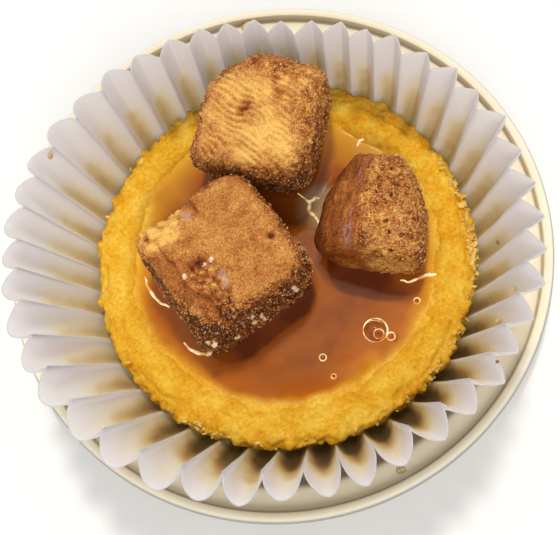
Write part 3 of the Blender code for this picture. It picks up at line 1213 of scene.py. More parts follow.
def spot(share: Array, place: Place, reach: float) -> Array:
    """A soft round spot on a bite's top, 1 in its middle.

    Args:
        share: Points as shares of the half sizes.
        place: Its middle, as shares of the half sizes.
        reach: Its radius, as such a share.

    Returns:
        The spot's strength at each point: a bell curve of the distance to its middle.
    """
    gap = np.hypot(share[:, 0] - place[0], share[:, 1] - place[1]) / reach
    return np.where(share[:, 2] > 0.5, np.exp(-gap * gap), 0.0)


@dataclass
class Bite:
    """A rounded block of browned sponge, as a superquadric with crumb relief, turned and set in the pool."""

    name: str
    half: Triple
    across: float
    along: float
    taper: float
    relief: float
    crag: float
    dents: tuple[Dent, ...]
    centre: Triple
    turn: Triple
    seed: int
    pinch: float = 0.0
    shear: float = 0.0
    floor: float = 11.9
    cuts: int = 110

    def footprint(self, x: Array, y: Array) -> Array:
        """How far a place lies from the block's middle in plan, where 1 is the block's edge.

        Args:
            x: Distance to the right of the middle, in mm.
            y: Distance behind the middle, in mm.

        Returns:
            The fourth root of the summed fourth powers, in half sizes along the block's own directions.
        """
        yaw = math.radians(self.turn[2])
        u = x * math.cos(yaw) + y * math.sin(yaw)
        v = y * math.cos(yaw) - x * math.sin(yaw)
        return (np.abs(u / self.half[0]) ** 4 + np.abs(v / self.half[1]) ** 4) ** 0.25

    def turned(self) -> Array:
        """The block's turn.

        Returns:
            The matrix of the turns about X, then Y, then Z.
        """
        matrix = Matrix.Identity(3)
        for angle, axis in zip(self.turn, "XYZ"):
            matrix = Matrix.Rotation(math.radians(angle), 3, axis) @ matrix
        return np.array(matrix)

    def coarse(self) -> tuple[Surface, Array]:
        """The block without its crumb.

        A point of a cube is divided by the superquadric length of its position. Noise then moves it along
        its direction, and each dent pushes in the points near it.

        Returns:
            The surface in the block's own directions, and its points as shares of the half sizes.
        """
        surface = Surface.of_cube(self.cuts)
        x, y, z = surface.points.T
        section = (np.abs(x) ** self.across + np.abs(z) ** self.across) ** (1.0 / self.across)
        length = (section ** self.along + np.abs(y) ** self.along) ** (1.0 / self.along)
        share = surface.points / length[:, None]
        place = share * np.array(self.half)
        place[:, 0] *= 1.0 - self.taper * share[:, 1] - self.pinch * ease(share[:, 1], 0.1, 1.0)
        place[:, 0] += self.shear * place[:, 1]
        outward = place / np.linalg.norm(place, axis=1, keepdims=True)
        push = self.relief * 0.5 * fractal(place, self.crag, 100 * self.seed, 3)
        for dent in self.dents:
            direction = np.array(dent.toward) / np.linalg.norm(dent.toward)
            nearness = np.linalg.norm(outward - direction, axis=1) / dent.reach
            push -= dent.depth * np.where(nearness < 1.0, (1.0 - nearness**2) ** 2, 0.0)
        surface.points = place + outward * push[:, None]
        return surface, share

    def skin(self, surface: Surface, share: Array) -> dict[str, Array]:
        """The crumb and colour of the block, which each kind of bite gives for itself.

        Args:
            surface: The coarse block.
            share: Its points as shares of the half sizes.

        Returns:
            The relief in mm, and the tone, grit, glaze and sugar's density from 0 to 1.
        """
        raise NotImplementedError

    def build(self, material: bpy.types.Material) -> tuple[bpy.types.Object, Surface]:
        """The block with its crumb, turned, set in its place and pressed flat where it would reach too deep.

        Args:
            material: The crust's finish.

        Returns:
            The piece, and its surface.
        """
        surface, share = self.coarse()
        skin = self.skin(surface, share)
        surface.raised(skin.pop("relief"))
        surface.points = surface.points @ self.turned().T + np.array(self.centre)
        surface.points[:, 2] = np.maximum(surface.points[:, 2], self.floor)
        surface.values = {key: np.clip(value, 0.0, 1.0) for key, value in skin.items()}
        return surface.to_piece(self.name + "_crust", material, Slot.CRUST, self.name), surface

    def crumbs(self, surface: Surface) -> tuple[Array, Array]:
        """The crumb's heights in the block's own directions.

        Args:
            surface: The coarse block.

        Returns:
            The coarse and the fine crumb, each about 0 to 1.
        """
        heights = []
        for size, seed in ((0.95, 200 * self.seed), (0.48, 300 * self.seed)):
            distance, value = grains(surface.points, size, seed)
            heights.append((1.0 - distance) * (0.35 + 0.65 * value))
        return heights[0], heights[1]


class GoldenBite(Bite):
    """The bite at the back: a golden, finely ridged top with a brown, sugared rim and dark sides; shade is
    painted into its pits, crumb hollows and ridge troughs and down its front.

    The pits are spots on the top, each by its middle and its reach.
    """

    pits: ClassVar[tuple[tuple[Place, float], ...]] = (
        ((0.27, 0.36), 0.12), ((-0.21, 0.10), 0.10), ((0.16, 0.60), 0.10), ((-0.28, -0.02), 0.07))

    def skin(self, surface: Surface, share: Array) -> dict[str, Array]:
        """Ridges cross the top in waves, its pits are painted dark as shade, and the rim and sides are
        crumbly.

        Args:
            surface: The coarse block.
            share: Its points as shares of the half sizes.

        Returns:
            The relief, tone, grit, glaze and sugar.
        """
        coarse, fine = self.crumbs(surface)
        x, y, z = share.T
        wander = fractal(surface.points, 3.2, 7, 4)
        sway = fractal(surface.points, 4.5, 6, 2)
        border = np.maximum(np.abs(x + 0.08), np.abs(y + 0.12)) + 0.14 * wander
        top = ease(z + 0.05 * wander, 0.78, 0.92) * (1.0 - ease(border, 0.64, 0.86))
        across = surface.points[:, 0] * 0.45 + surface.points[:, 1] * 0.9 + 0.9 * sway
        patches = np.clip(fractal(surface.points, 2.5, 8, 2), -0.5, 0.5)
        ridges = np.sin(2.0 * math.pi * across / 0.88) * (0.8 + 0.8 * patches)
        pits = sum(spot(share, place, reach) for place, reach in self.pits)
        blotch = fractal(surface.points, 1.9, 5, 3)
        rough = 0.45 * coarse + 0.36 * fine + 0.22 * blotch - 0.32
        relief = top * (0.08 * ridges + 0.13 * fine) + (1.0 - top) * rough - 0.45 * pits
        side = 1.0 - ease(z, 0.50, 0.90)
        # Painted shade: the sides darken more towards the front.
        near = 0.10 + 0.12 * ease(-y - 0.3 * x, -0.6, 0.5)
        crust = 0.46 + near * side + 0.20 * blotch
        # Painted shade in the crumb's hollows.
        crust = crust + 0.4 * (CRUMB_MEAN - coarse) + 0.35 * (CRUMB_MEAN - fine)
        # The troughs between the ridges and the fine crumb's hollows are painted darker, as shade.
        gold = 0.15 + 0.12 * ease(-x, -0.2, 0.8) - 0.13 * ridges + 0.22 * np.clip(wander, -0.5, 1.0)
        gold = gold + 0.25 * (CRUMB_MEAN - fine)
        # The pits are painted darker, as shade.
        tone = top * gold + (1.0 - top) * crust + 0.42 * pits
        sugar = (1.0 - top) * ease(fine, 0.3, 0.6) * (0.4 + 0.6 * side)
        return {"relief": relief, "tone": tone, "grit": 1.0 - 0.85 * top, "glaze_and_sheen": 0.15 * top, "sugar": sugar}


class FlatBite(Bite):
    """The large bite: a flat, fine-grained top with a lower strip at its left, a crater and rough dark sides;
    shade is painted into its crumb hollows, crater, hole and hollow, on the step and down the sides.

    The crater's mouth and the smears are spots on the top, each by its middle and its reach.
    """

    mouth: ClassVar[tuple[tuple[Place, float], ...]] = (((-0.34, -0.20), 0.26), ((-0.40, -0.55), 0.24),
                                                        ((-0.42, -0.88), 0.24))
    smears: ClassVar[tuple[tuple[Place, float], ...]] = (((-0.10, 0.72), 0.12), ((-0.14, -0.36), 0.06),
                                                         ((-0.16, -0.50), 0.06))

    def skin(self, surface: Surface, share: Array) -> dict[str, Array]:
        """The top is nearly smooth, its left strip lies lower and is torn, and the sides are coarse.

        Args:
            surface: The coarse block.
            share: Its points as shares of the half sizes.

        Returns:
            The relief, tone, grit, glaze and sugar.
        """
        coarse, fine = self.crumbs(surface)
        x, y, z = share.T
        wander = fractal(surface.points, 4.0, 9, 4)
        border = np.maximum(np.abs(x), np.abs(y)) + 0.05 * wander
        top = ease(z + 0.04 * wander, 0.80, 0.94) * (1.0 - ease(border, 0.86, 0.98))
        left = ease(-x + 0.07 * wander, 0.62, 0.66)
        back = ease(y + 0.25 * x + 0.05 * wander, 0.66, 0.70) * ease(-x, -0.12, -0.02)
        strip = np.maximum(left, back) * ease(z, 0.2, 0.6)
        mouth = sum(spot(share, place, reach) for place, reach in self.mouth)
        crater = ease(mouth * (1.0 + 0.9 * wander), 0.25, 0.75)
        step = 4.0 * strip * (1.0 - strip) * ease(z, 0.5, 0.8)
        torn = ease(spot(share, (-0.60, 0.86), 0.42) * (1.1 + 0.8 * wander), 0.25, 0.7)
        hollow = ease(spot(share, (-0.66, 0.84), 0.20) * (1.1 + 1.2 * wander), 0.3, 0.7)
        hole = spot(share, (0.72, -0.30), 0.055)
        smear = sum(spot(share, place, reach) for place, reach in self.smears)
        rough = 0.42 * coarse + 0.36 * fine - 0.28
        relief = top * 0.14 * fine + (1.0 - top) * rough - 0.7 * strip + 1.3 * crater * (rough - 0.7)
        relief = relief + torn * rough - 0.6 * hollow - 0.8 * hole
        # The sides are darker: crust colour with painted shade.
        side = 1.0 - ease(z, 0.55, 0.90)
        blotch = fractal(surface.points, 1.9, 15, 3)
        crust = 0.51 + 0.34 * side + 0.16 * blotch
        # Painted shade in the crumb's hollows.
        crust = crust + 0.4 * (CRUMB_MEAN - coarse) + 0.4 * (CRUMB_MEAN - fine)
        flat = 0.43 + 0.06 * wander + 0.12 * ease(-x, 0.0, 0.9) + 0.04 * strip + 0.2 * (CRUMB_MEAN - fine)
        tone = top * flat + (1.0 - top) * crust
        # In the crater and the torn corner the crumb's hollows are painted darker, as shade.
        pitted = 0.42 + 1.0 * (CRUMB_MEAN - coarse) + 0.5 * (CRUMB_MEAN - fine) + 0.3 * wander
        tone = tone * (1.0 - crater) + crater * pitted
        tone = tone * (1.0 - torn) + torn * (-0.08 + 0.9 * (0.45 - coarse))
        # Painted shade in the hollow, the hole and on the step's riser.
        tone = tone + 0.5 * hollow + 0.6 * hole - 0.08 * smear + 0.22 * step * (1.0 - torn)
        grit = np.clip(1.0 - 0.75 * top - 0.2 * crater, 0.0, 1.0)
        grit = grit * (1.0 - np.clip(smear + 0.7 * torn, 0.0, 1.0))
        sugar = (1.0 - top) * side * ease(fine, 0.3, 0.6) + 0.15 * crater
        glaze_and_sheen = 0.1 * top + 0.5 * crater + smear
        return {"relief": relief, "tone": tone, "grit": grit, "glaze_and_sheen": glaze_and_sheen, "sugar": sugar}


class SkinnedBite(Bite):
    """The right-hand bite: a smooth, grained brown skin over its left, and a crumbly broken face, with shade
    painted into its pores and hollows and its front painted lighter against its shade.
    """

    def skin(self, surface: Surface, share: Array) -> dict[str, Array]:
        """The skin has grain along the bite, and the broken face has pores.

        Args:
            surface: The coarse block.
            share: Its points as shares of the half sizes.

        Returns:
            The relief, tone, grit, glaze and sugar.
        """
        coarse, fine = self.crumbs(surface)
        x, y, z = share.T
        wander = fractal(surface.points, 4.0, 13, 4)
        skin = (1.0 - ease(x + 0.10 * wander, -0.14, 0.06)) * ease(z, -0.75, -0.5)
        skin = skin * (1.0 - ease(y + 0.1 * wander, 0.80, 0.95))
        grain = fractal(surface.points * np.array([1.0, 0.14, 1.0]), 0.42, 17, 3) + 0.5 * fine - 0.25
        distance, value = grains(surface.points, 1.25, 77)
        distance = distance + 0.10 * fractal(surface.points, 0.7, 27, 2)
        pore = np.exp(-((distance / 0.22) ** 2)) * (value > 0.4) * (1.0 - skin)
        pore = pore + (1.0 - skin) * spot(share, (0.02, -0.78), 0.13)
        rough = 0.34 * coarse + 0.34 * fine - 0.26
        relief = skin * 0.04 * grain + (1.0 - skin) * rough - 0.45 * pore
        # The front face is painted lighter, against the shade it stands in.
        front = ease(-y, 0.90, 0.98)
        low = (1.0 - ease(z, 0.0, 0.6)) * (1.0 - front)
        blotch = fractal(surface.points, 1.8, 25, 3)
        # Painted shade in the pores and the crumb's hollows.
        crumb = 0.40 + 0.20 * low - 0.06 * front + 0.6 * pore + 0.16 * blotch
        crumb = crumb + 0.35 * (CRUMB_MEAN - coarse) + 0.5 * (CRUMB_MEAN - fine)
        smooth = 0.71 + 0.13 * grain + 0.08 * wander + 0.12 * ease(-x, 0.5, 0.95) - 0.04 * front
        tone = skin * smooth + (1.0 - skin) * crumb
        sugar = (1.0 - skin) * ease(fine, 0.3, 0.6)
        # The band paints a purplish sheen along the skin's edge, through the sheen value.
        band = np.exp(-(((x + 0.2 + 0.1 * wander) / 0.09) ** 2)) * ease(z, 0.3, 0.7)
        band = band * ease(grain, -0.4, 0.3)
        glaze_and_sheen = 0.4 * skin + 0.5 * band
        return {"relief": relief, "tone": tone, "grit": 1.0 - 0.88 * skin, "glaze_and_sheen": glaze_and_sheen, "sugar": sugar}


BITES: tuple[Bite, ...] = (
    GoldenBite(
        "bite_upper", half=(9.0, 9.2, 8.0), across=4.5, along=4.5, taper=0.06, relief=0.9, crag=4.2,
        dents=(Dent((0.6, 0.9, 0.9), 0.35, 0.8), Dent((-0.8, 0.9, 0.7), 0.5, 1.3)),
        centre=(3.8, 13.0, 20.8), turn=(14.0, 0.0, -28.0), seed=1, shear=0.1),
    FlatBite(
        "bite_left", half=(10.0, 9.5, 8.0), across=5.5, along=6.0, taper=0.0, relief=0.8, crag=5.0,
        dents=(Dent((-1.0, -0.9, 0.9), 0.45, 2.2), Dent((-1.0, 0.9, 0.8), 0.4, -1.0),
               Dent((-1.0, -1.0, -0.8), 0.6, -0.8)),
        centre=(-7.9, -6.2, 19.2), turn=(2.0, -2.0, 18.0), seed=2),
    SkinnedBite(
        "bite_right", half=(7.4, 7.6, 7.0), across=2.6, along=6.0, taper=0.2, relief=0.7, crag=4.0,
        dents=(Dent((0.8, -0.8, 0.9), 0.4, 0.8),),
        centre=(15.6, -5.2, 18.0), turn=(3.0, -12.0, -29.0), seed=3, pinch=0.16),
)


# The caramel


@dataclass
class CaramelPool:
    """A glossy pool that fills the recess, climbs a little at each bite and thins out over the sponge."""

    centre: Place = PUDDING_MIDDLE
    deepest: Place = (-0.8, -7.2)
    level: float = 12.8
    floor: float = 12.0
    radius: float = 24.6
    steps: int = 420
    rings: int = 180
    under_rings: int = 12
    climb: float = 0.55
    climb_reach: float = 1.7
    # Shifts of the painted shadows in front of the left and right bites.
    gathered: tuple[Place, ...] = ((0.6, -2.6), (-0.9, -4.4))
    # Middle of the painted reflection between the bites.
    cloudy: Place = (8.4, 0.6)
    finish: CaramelFinish = CaramelFinish()

    def height(self, x: Array, y: Array) -> Array:
        """Height of the surface.

        Args:
            x: Places in mm.
            y: Places in mm.

        Returns:
            The level, plus a climb at each bite that fades with the distance to it, and a faint ripple.
        """
        total = np.full(x.shape, self.level)
        for bite in BITES:
            section = bite.footprint(x - bite.centre[0], y - bite.centre[1])
            distance = np.maximum(section - 0.95, 0.0) * min(bite.half[:2])
            total += self.climb * np.exp(-distance / self.climb_reach)
        ripple = np.stack([x, y, np.zeros_like(x)], axis=-1)
        return total + 0.012 * fractal(ripple, 5.0, 61, 2)

    def build(self) -> bpy.types.Object:
        """A disc whose top follows the surface's height, closed by a plain underside.

        Returns:
            The piece.
        """
        under = np.linspace(2.0, self.radius, self.under_rings)
        reach = np.concatenate([under, np.linspace(self.radius, 0.15, self.rings)])
        rings = lathe(reach[:, None], np.zeros((1, 1)), self.steps, self.centre)
        rings[..., 2] = self.height(rings[..., 0], rings[..., 1])
        rings[: self.under_rings, :, 2] = self.floor
        rings[self.under_rings, :, 2] = self.level - 0.3
        crest = float(self.height(*np.array(self.centre)[:, None])[0])
        surface = Surface.of_rings(rings, (*self.centre, self.floor), (*self.centre, crest))
        flat = surface.points[:, :2]
        middles = (self.deepest, self.centre, self.cloudy)
        away, reach, gap = (np.linalg.norm(flat - middle, axis=1) for middle in middles)
        drift = fractal(surface.points, 6.0, 71, 3)
        nearer = np.clip((self.centre[1] - flat[:, 1]) / np.maximum(reach, 1.0), 0.0, 1.0)
        # Painted shadows of the left and right bites, which deepen the depth value in front of them.
        painted_bite_shadow = np.zeros(len(flat))
        for bite, shift in zip(BITES[1:], self.gathered):
            section = bite.footprint(*(flat - np.array(bite.centre[:2]) - np.array(shift)).T)
            painted_bite_shadow = np.maximum(painted_bite_shadow, 1.0 - ease(section + 0.04 * drift, 0.88, 1.04))
        depth = 0.8 * (1.0 - ease(away + 1.2 * drift, 14.5, 24.6))
        surface.values["depth"] = np.clip(depth + 0.35 * painted_bite_shadow, 0.0, 1.0)
        surface.values["thin"] = ease(reach + 0.7 * drift + 0.7 * nearer, 21.9, 24.3)
        # The film value paints a reflection between the bites.
        surface.values["film"] = 0.8 * (1.0 - ease(gap + 0.8 * drift, 1.5, 5.0))
        return surface.to_piece("caramel_pool", self.finish.build(), Slot.CARAMEL, "caramel")


# Loose things


@dataclass
class SugarGrains:
    """Sugar grains that cling to the bites."""

    count: int = 2400
    half: Place = (0.055, 0.12)
    seed: int = 19
    finish: SugarFinish = SugarFinish()

    def build(self, crusts: list[Surface]) -> bpy.types.Object:
        """Small uneven boxes on points of the bites, drawn by the sugar's density.

        Args:
            crusts: The surfaces of the bites.

        Returns:
            The piece with every grain.
        """
        rng = np.random.default_rng(self.seed)
        places = []
        for crust in crusts:
            seen = crust.values["sugar"] * (crust.points[:, 2] > 13.0)
            chosen = rng.choice(len(seen), self.count // len(crusts), p=seen / seen.sum())
            places.append(crust.points[chosen] + 0.05 * crust.normals()[chosen])
        places = np.concatenate(places)
        sizes = rng.uniform(*self.half, (len(places), 1)) * rng.uniform(0.7, 1.3, (len(places), 3))
        surface = scattered(Surface.of_cube(1), places, sizes, random_turns(len(places), rng))
        return surface.to_piece("sugar_grains", self.finish.build(), Slot.CRUST)


@dataclass
class CaramelThreads:
    """Thin, wavy threads on the caramel, and rings round the bubbles, pale and faintly glowing as painted
    glints.

    Each thread is given by the places that it runs through, and each ring by its middle and radius.
    """

    paths: tuple[tuple[Place, ...], ...] = (
        ((5.6, 3.6), (6.4, 2.6), (6.9, 1.4), (6.3, 0.4), (6.9, -0.6), (7.3, -2.0), (6.6, -3.4)),
        ((6.9, 1.6), (8.0, 2.2), (8.6, 1.8)),
        ((16.2, -14.8), (17.4, -15.4), (18.8, -15.4), (20.4, -15.3), (21.8, -15.6)),
        ((15.7, 12.6), (16.6, 12.3), (17.1, 11.2), (18.2, 10.9), (17.7, 10.0)),
        ((16.9, 8.4), (17.6, 9.3), (18.6, 9.4), (19.0, 10.4), (20.2, 11.2)),
        ((-20.9, -2.0), (-21.1, -3.6), (-20.6, -5.3), (-19.8, -6.9), (-18.6, -8.0)),
        ((-17.8, -14.2), (-17.1, -15.5), (-16.1, -16.4), (-14.6, -17.2)),
    )
    rings: tuple[Triple, ...] = ((10.3, -21.0, 1.8), (10.6, -21.7, 0.75), (12.2, -22.6, 0.6),
                                 (1.6, -22.6, 0.5), (17.6, -18.6, 0.45), (2.3, -25.8, 0.35))
    level: float = 12.83
    radius: float = 0.24
    ring_radius: float = 0.1008
    waver: float = 0.16
    finish: GlintFinish = GlintFinish()

    def build(self) -> bpy.types.Object:
        """Smooth curves through the places with a small waver, and closed rings, all as round threads.

        Returns:
            The piece.
        """
        parts = []
        soft = np.ones(7) / 7.0
        for number, path in enumerate(self.paths):
            knots = np.array(path)
            along = np.linspace(0.0, len(knots) - 1.0, 16 * len(knots))
            course = [np.interp(along, np.arange(len(knots)), line) for line in knots.T]
            course = [np.convolve(np.pad(line, 3, mode="edge"), soft, mode="valid") for line in course]
            spots = np.column_stack([*course, np.full(len(along), float(number))])
            waver = np.stack([fractal(spots, 1.1, 83 + axis, 2) for axis in (0, 1)], axis=1)
            course = np.stack(course, axis=1) + self.waver * waver
            height = CaramelPool().height(course[:, 0], course[:, 1]) + 0.08
            taper = np.sin(np.pi * np.linspace(0.06, 0.94, len(course))) ** 0.5
            radii = self.radius * taper * (1.0 + 0.4 * waver[:, 0])
            parts.append(tube(np.column_stack([course, height]), radii))
        roll = 2.0 * math.pi * np.arange(8)[:, None] / 8
        for x, y, radius in self.rings:
            reach = radius + self.ring_radius * np.cos(roll)
            rise = self.level + self.ring_radius * np.sin(roll)
            parts.append(Surface.of_rings(lathe(reach, rise, 64, (x, y)), wrap=True))
        return joined(parts).to_piece("caramel_threads", self.finish.build(), Slot.CARAMEL)


@dataclass
class SugarClumps:
    """Whitish clumps of sugar on the large bite."""

    places: tuple[Triple, ...] = (
        (-9.6, -8.1, 26.9), (-13.5, -8.8, 26.7), (-6.0, -15.7, 20.0), (-5.2, -15.6, 19.2),
        (-12.9, -17.3, 20.2), (-13.4, -17.0, 18.6), (0.6, -13.6, 22.0), (-9.6, -16.8, 17.4))
    to_a_clump: int = 4
    scatter: float = 0.33
    size: float = 0.38
    seed: int = 23
    finish: SugarFinish = SugarFinish("sugar_clump", (0.86, 0.70, 0.50), (0.66, 0.44, 0.22))

    def build(self) -> bpy.types.Object:
        """Uneven balls in different sizes and turns, some to a clump.

        Returns:
            The piece.
        """
        rng = np.random.default_rng(self.seed)
        places = np.repeat(np.array(self.places), self.to_a_clump, axis=0)
        places = places + rng.normal(0.0, self.scatter, places.shape)
        sizes = self.size * rng.uniform(0.45, 1.0, (len(places), 1))
        sizes = sizes * rng.uniform(0.8, 1.2, (len(places), 3))
        surface = scattered(lump(8, 0.3, 5), places, sizes, random_turns(len(places), rng))
        return surface.to_piece("sugar_clumps", self.finish.build(), Slot.CRUST)


@dataclass
class CrumbFlakes:
    """Ragged flakes of sponge along its torn edge, thicker where the edge is most broken."""

    centre: Place = PUDDING_MIDDLE
    count: int = 250
    clusters: tuple[Place, ...] = ((-9.0, 15.0), (-9.0, 15.0), (-134.0, 6.0), (-54.0, 6.0), (25.0, 22.0))
    clustered: float = 0.72
    reach: float = 29.0
    height: float = 13.25
    seed: int = 29
    finish: StrayFinish = StrayFinish("crumb_flake", (0.94, 0.67, 0.20), (0.80, 0.44, 0.04))

    def build(self) -> bpy.types.Object:
        """Flat uneven flakes, most near the given azimuths and the rest all round.

        Returns:
            The piece.
        """
        rng = np.random.default_rng(self.seed)
        count = self.count
        middle, width = np.array(self.clusters)[rng.integers(0, len(self.clusters), count)].T
        gathered = rng.random(count) < self.clustered
        azimuth = np.where(gathered, rng.normal(middle, width), rng.uniform(-180.0, 180.0, count))
        azimuth = np.radians(azimuth)
        reach = rng.normal(self.reach, 0.38, count)
        height = self.height - 1.6 * np.clip(reach - 28.8, 0.0, 1.0) + rng.normal(0.0, 0.18, count)
        x = self.centre[0] + reach * np.cos(azimuth)
        y = self.centre[1] + reach * np.sin(azimuth)
        large = 1.0 + 1.1 * np.exp(-(((azimuth + 0.18) / 0.22) ** 2))
        sizes = (rng.uniform(0.15, 0.48, count) * large)[:, None] * np.array([1.0, 0.6, 0.32])
        sizes = sizes * rng.uniform(0.7, 1.3, (count, 3))
        places = np.stack([x, y, height], axis=1)
        surface = scattered(lump(5, 0.5, 9), places, sizes, random_turns(count, rng))
        surface.points = kept_inside(surface.points, self.centre)
        surface.values["tone"] = np.repeat(rng.uniform(0.0, 1.0, count) ** 2, len(surface.points) // count)
        return surface.to_piece("crumb_flakes", self.finish.build(), Slot.SPONGE)


@dataclass
class StrayCrumbs:
    """The crumbs that lie on the dish and the paper, by place, half sizes and tone, and one drop of syrup."""

    crumbs: tuple[tuple[Triple, Triple, float], ...] = (
        ((6.7, 41.3, 3.9), (1.25, 1.0, 0.75), 0.05),
        ((8.6, 40.7, 3.7), (0.5, 0.4, 0.35), 0.15),
        ((-27.7, 14.5, 28.3), (0.8, 0.35, 0.25), 0.35),
        ((29.6, -23.4, 21.8), (0.32, 0.26, 0.3), 0.0),
        ((26.4, -26.6, 19.9), (0.35, 0.28, 0.3), 0.05),
        ((22.5, -33.5, 28.8), (0.25, 0.2, 0.15), 0.95),
        ((31.5, -14.5, 16.0), (0.4, 0.35, 0.35), 0.30),
    )
    drop: Triple = (7.9, -40.7, 3.55)
    drop_half: Triple = (0.75, 0.6, 0.5)
    seed: int = 31

    def build(self) -> tuple[bpy.types.Object, bpy.types.Object]:
        """Each crumb is an uneven ball; the drop is a smooth low dome.

        Returns:
            The crumbs and the drop.
        """
        rng = np.random.default_rng(self.seed)
        places, sizes, tones = (np.array(column) for column in zip(*self.crumbs))
        surface = scattered(lump(14, 0.35, 7), places, sizes, random_turns(len(places), rng))
        surface.values["tone"] = np.repeat(tones, len(surface.points) // len(tones))
        pieces = surface.to_piece("stray_crumbs", StrayFinish().build(), Slot.SPONGE)
        dome = lump(12, 0.05, 3)
        dome.points = dome.points * np.array(self.drop_half) + np.array(self.drop)
        return pieces, dome.to_piece("syrup_drop", SyrupFinish().build(), Slot.CARAMEL)


@dataclass
class Bubbles:
    """Bubbles on the caramel: each is a clear dome, by its middle and its radius."""

    domes: tuple[Triple, ...] = (
        (10.2, -21.1, 1.75), (9.9, -22.0, 0.85), (12.6, -22.9, 0.65), (1.6, -22.6, 0.6),
        (17.6, -18.6, 0.45), (2.3, -25.8, 0.35), (8.9, -20.2, 0.3))
    level: float = 12.8
    flatness: float = 0.55
    film: float = 0.06
    finish: FilmFinish = FilmFinish()

    def build(self) -> bpy.types.Object:
        """Domes of unit size, scaled and set on the surface, with a film's thickness.

        Returns:
            The piece.
        """
        rise = np.radians(np.linspace(-8.0, 82.0, 12))[:, None]
        dome = Surface.of_rings(lathe(np.cos(rise), np.sin(rise), 28), None, (0.0, 0.0, 1.0))
        spots = np.array(self.domes)
        places = np.column_stack([spots[:, :2], np.full(len(spots), self.level)])
        sizes = spots[:, 2:] * np.array([1.0, 1.0, self.flatness])
        surface = scattered(dome, places, sizes, np.repeat(np.eye(3)[None], len(spots), axis=0))
        piece = surface.to_piece("bubbles", self.finish.build(), Slot.CARAMEL)
        film = piece.modifiers.new("film", "SOLIDIFY")
        film.thickness = self.film * MM
        return piece


# The studio


@dataclass(frozen=True)
class Lamp:
    """An area light aimed at the pudding, which may be left out of mirrors or of soft light."""

    name: str
    place: Triple
    size: Place
    power: float
    color: Rgb
    mirrored: bool = True
    soft: bool = True
    aim: Triple = (0.0, -5.0, 12.0)

    def hang(self) -> None:
        """Puts the light in the scene."""
        data = bpy.data.lights.new(self.name, "AREA")
        data.shape = "RECTANGLE"
        data.size = self.size[0] * MM
        data.size_y = self.size[1] * MM
        data.energy = self.power
        data.color = self.color
        lamp = bpy.data.objects.new(self.name, data)
        lamp.location = Vector(self.place) * MM
        lamp.rotation_euler = (Vector(self.aim) - Vector(self.place)).to_track_quat("-Z", "Y").to_euler()
        lamp.visible_glossy = self.mirrored
        lamp.visible_diffuse = self.soft
        bpy.context.scene.collection.objects.link(lamp)


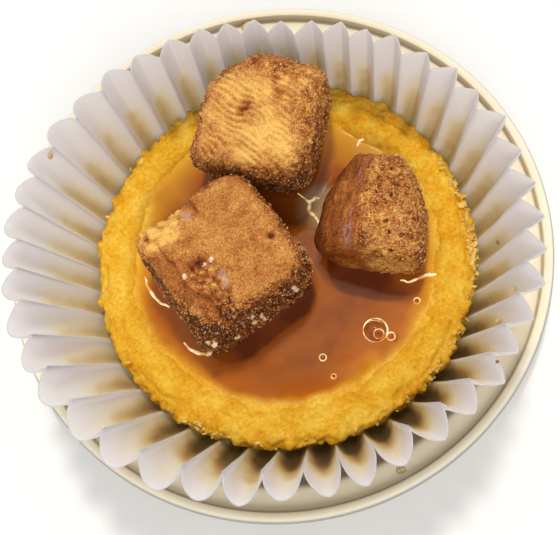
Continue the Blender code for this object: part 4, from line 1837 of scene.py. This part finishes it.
@dataclass
class Studio:
    """The camera at the photograph's viewing angle, a pale floor and soft light."""

    eye: Triple = (0.0, -52.33, 144.77)
    target: Triple = (-0.58, -4.17, 4.2)
    tilt: float = 20.42
    roll: float = -17.25
    lens: float = 58.19
    sky_steps: tuple[Place, ...] = ((90.0, 1.25), (60.0, 1.15), (35.0, 0.75), (14.0, 0.5), (9.0, 0.2))
    sky_strength: float = 0.72
    floor_reach: float = 1.5
    lamps: tuple[Lamp, ...] = (
        Lamp("key", (75.0, 225.0, 657.0), (90.0, 90.0), 2.2, (1.0, 0.96, 0.90), mirrored=False),
        Lamp("fill", (-60.0, -420.0, 420.0), (300.0, 300.0), 1.0, (1.0, 0.98, 0.98), mirrored=False),
        Lamp("haze", (15.0, 215.0, 657.0), (200.0, 215.0), 0.15, (1.0, 0.66, 0.40), soft=False),
        Lamp("glint", (75.0, 225.0, 657.0), (18.0, 18.0), 0.132, (1.0, 0.97, 0.88)),
    )

    def camera(self) -> None:
        """Looks from the eye to the target, with the horizon rolled."""
        tilt = math.radians(self.tilt)
        roll = math.radians(self.roll)
        forward = (Vector(self.target) - Vector(self.eye)).normalized()
        side = forward.cross(Vector((0.0, math.cos(tilt), math.sin(tilt)))).normalized()
        up = side.cross(forward)
        right = math.cos(roll) * side + math.sin(roll) * up
        top = math.cos(roll) * up - math.sin(roll) * side
        data = bpy.data.cameras.new("camera")
        data.lens = self.lens
        data.sensor_fit = "HORIZONTAL"
        data.clip_start = 0.005
        camera = bpy.data.objects.new("camera", data)
        facing = Matrix((right, top, -forward)).transposed().to_4x4()
        camera.matrix_world = Matrix.Translation(Vector(self.eye) * MM) @ facing
        bpy.context.scene.collection.objects.link(camera)
        bpy.context.scene.camera = camera

    def floor(self) -> None:
        """A pale floor with a faint mottle."""
        bench = NodeBench("floor")
        color = bench.ramp(bench.noise(60.0, 2.0), (0.3, (0.86, 0.86, 0.86)), (0.7, (0.90, 0.90, 0.89)))
        material = bench.done(Base_Color=color, Roughness=0.8)
        mesh = bpy.data.meshes.new("floor")
        far = self.floor_reach
        corners_of_floor = [(-far, -far, 0.0), (far, -far, 0.0), (far, far, 0.0), (-far, far, 0.0)]
        mesh.from_pydata(corners_of_floor, [], [(0, 1, 2, 3)])
        mesh.materials.append(material)
        floor = bpy.data.objects.new("floor", mesh)
        bpy.context.scene.collection.objects.link(floor)
        floor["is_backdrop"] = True

    def sky(self) -> None:
        """Light all round, dark straight overhead and brightest low down round the horizon."""
        world = bpy.data.worlds.new("studio")
        world.use_nodes = True
        tree = world.node_tree
        heading = tree.nodes.new("ShaderNodeTexCoord").outputs["Generated"]
        split = tree.nodes.new("ShaderNodeSeparateXYZ")
        tree.links.new(heading, split.inputs[0])
        ramp = tree.nodes.new("ShaderNodeValToRGB")
        tree.links.new(split.outputs["Z"], ramp.inputs["Fac"])
        band = ramp.color_ramp.elements
        while len(band) < len(self.sky_steps):
            band.new(0.5)
        for element, (tilt, level) in zip(band, self.sky_steps):
            element.position = math.cos(math.radians(tilt))
            element.color = (level, level, level, 1.0)
        back = tree.nodes["Background"]
        tree.links.new(ramp.outputs["Color"], back.inputs["Color"])
        back.inputs["Strength"].default_value = self.sky_strength
        bpy.context.scene.world = world

    def build(self) -> None:
        """The camera, the floor, the lamps and the light all round, with colours shown as they are."""
        self.camera()
        self.floor()
        self.sky()
        for lamp in self.lamps:
            lamp.hang()
        bpy.context.scene.view_settings.view_transform = "Standard"


def corners() -> list[list[float]]:
    """The lowest and highest corner of what is shown, as plain lists."""
    return [list(corner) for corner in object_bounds()]


def main() -> None:
    """Builds every piece in order."""
    logging.basicConfig(level=logging.INFO, format="%(name)s: %(message)s")
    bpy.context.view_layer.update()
    Studio().build()
    MetalDish().build()
    PaperCase().build()
    SpongePudding().build()
    CaramelPool().build()
    crust = CrustFinish().build()
    surfaces = [bite.build(crust)[1] for bite in BITES]
    SugarGrains().build(surfaces)
    SugarClumps().build()
    CrumbFlakes().build()
    Bubbles().build()
    CaramelThreads().build()
    StrayCrumbs().build()


if __name__ == "__main__":
    main()
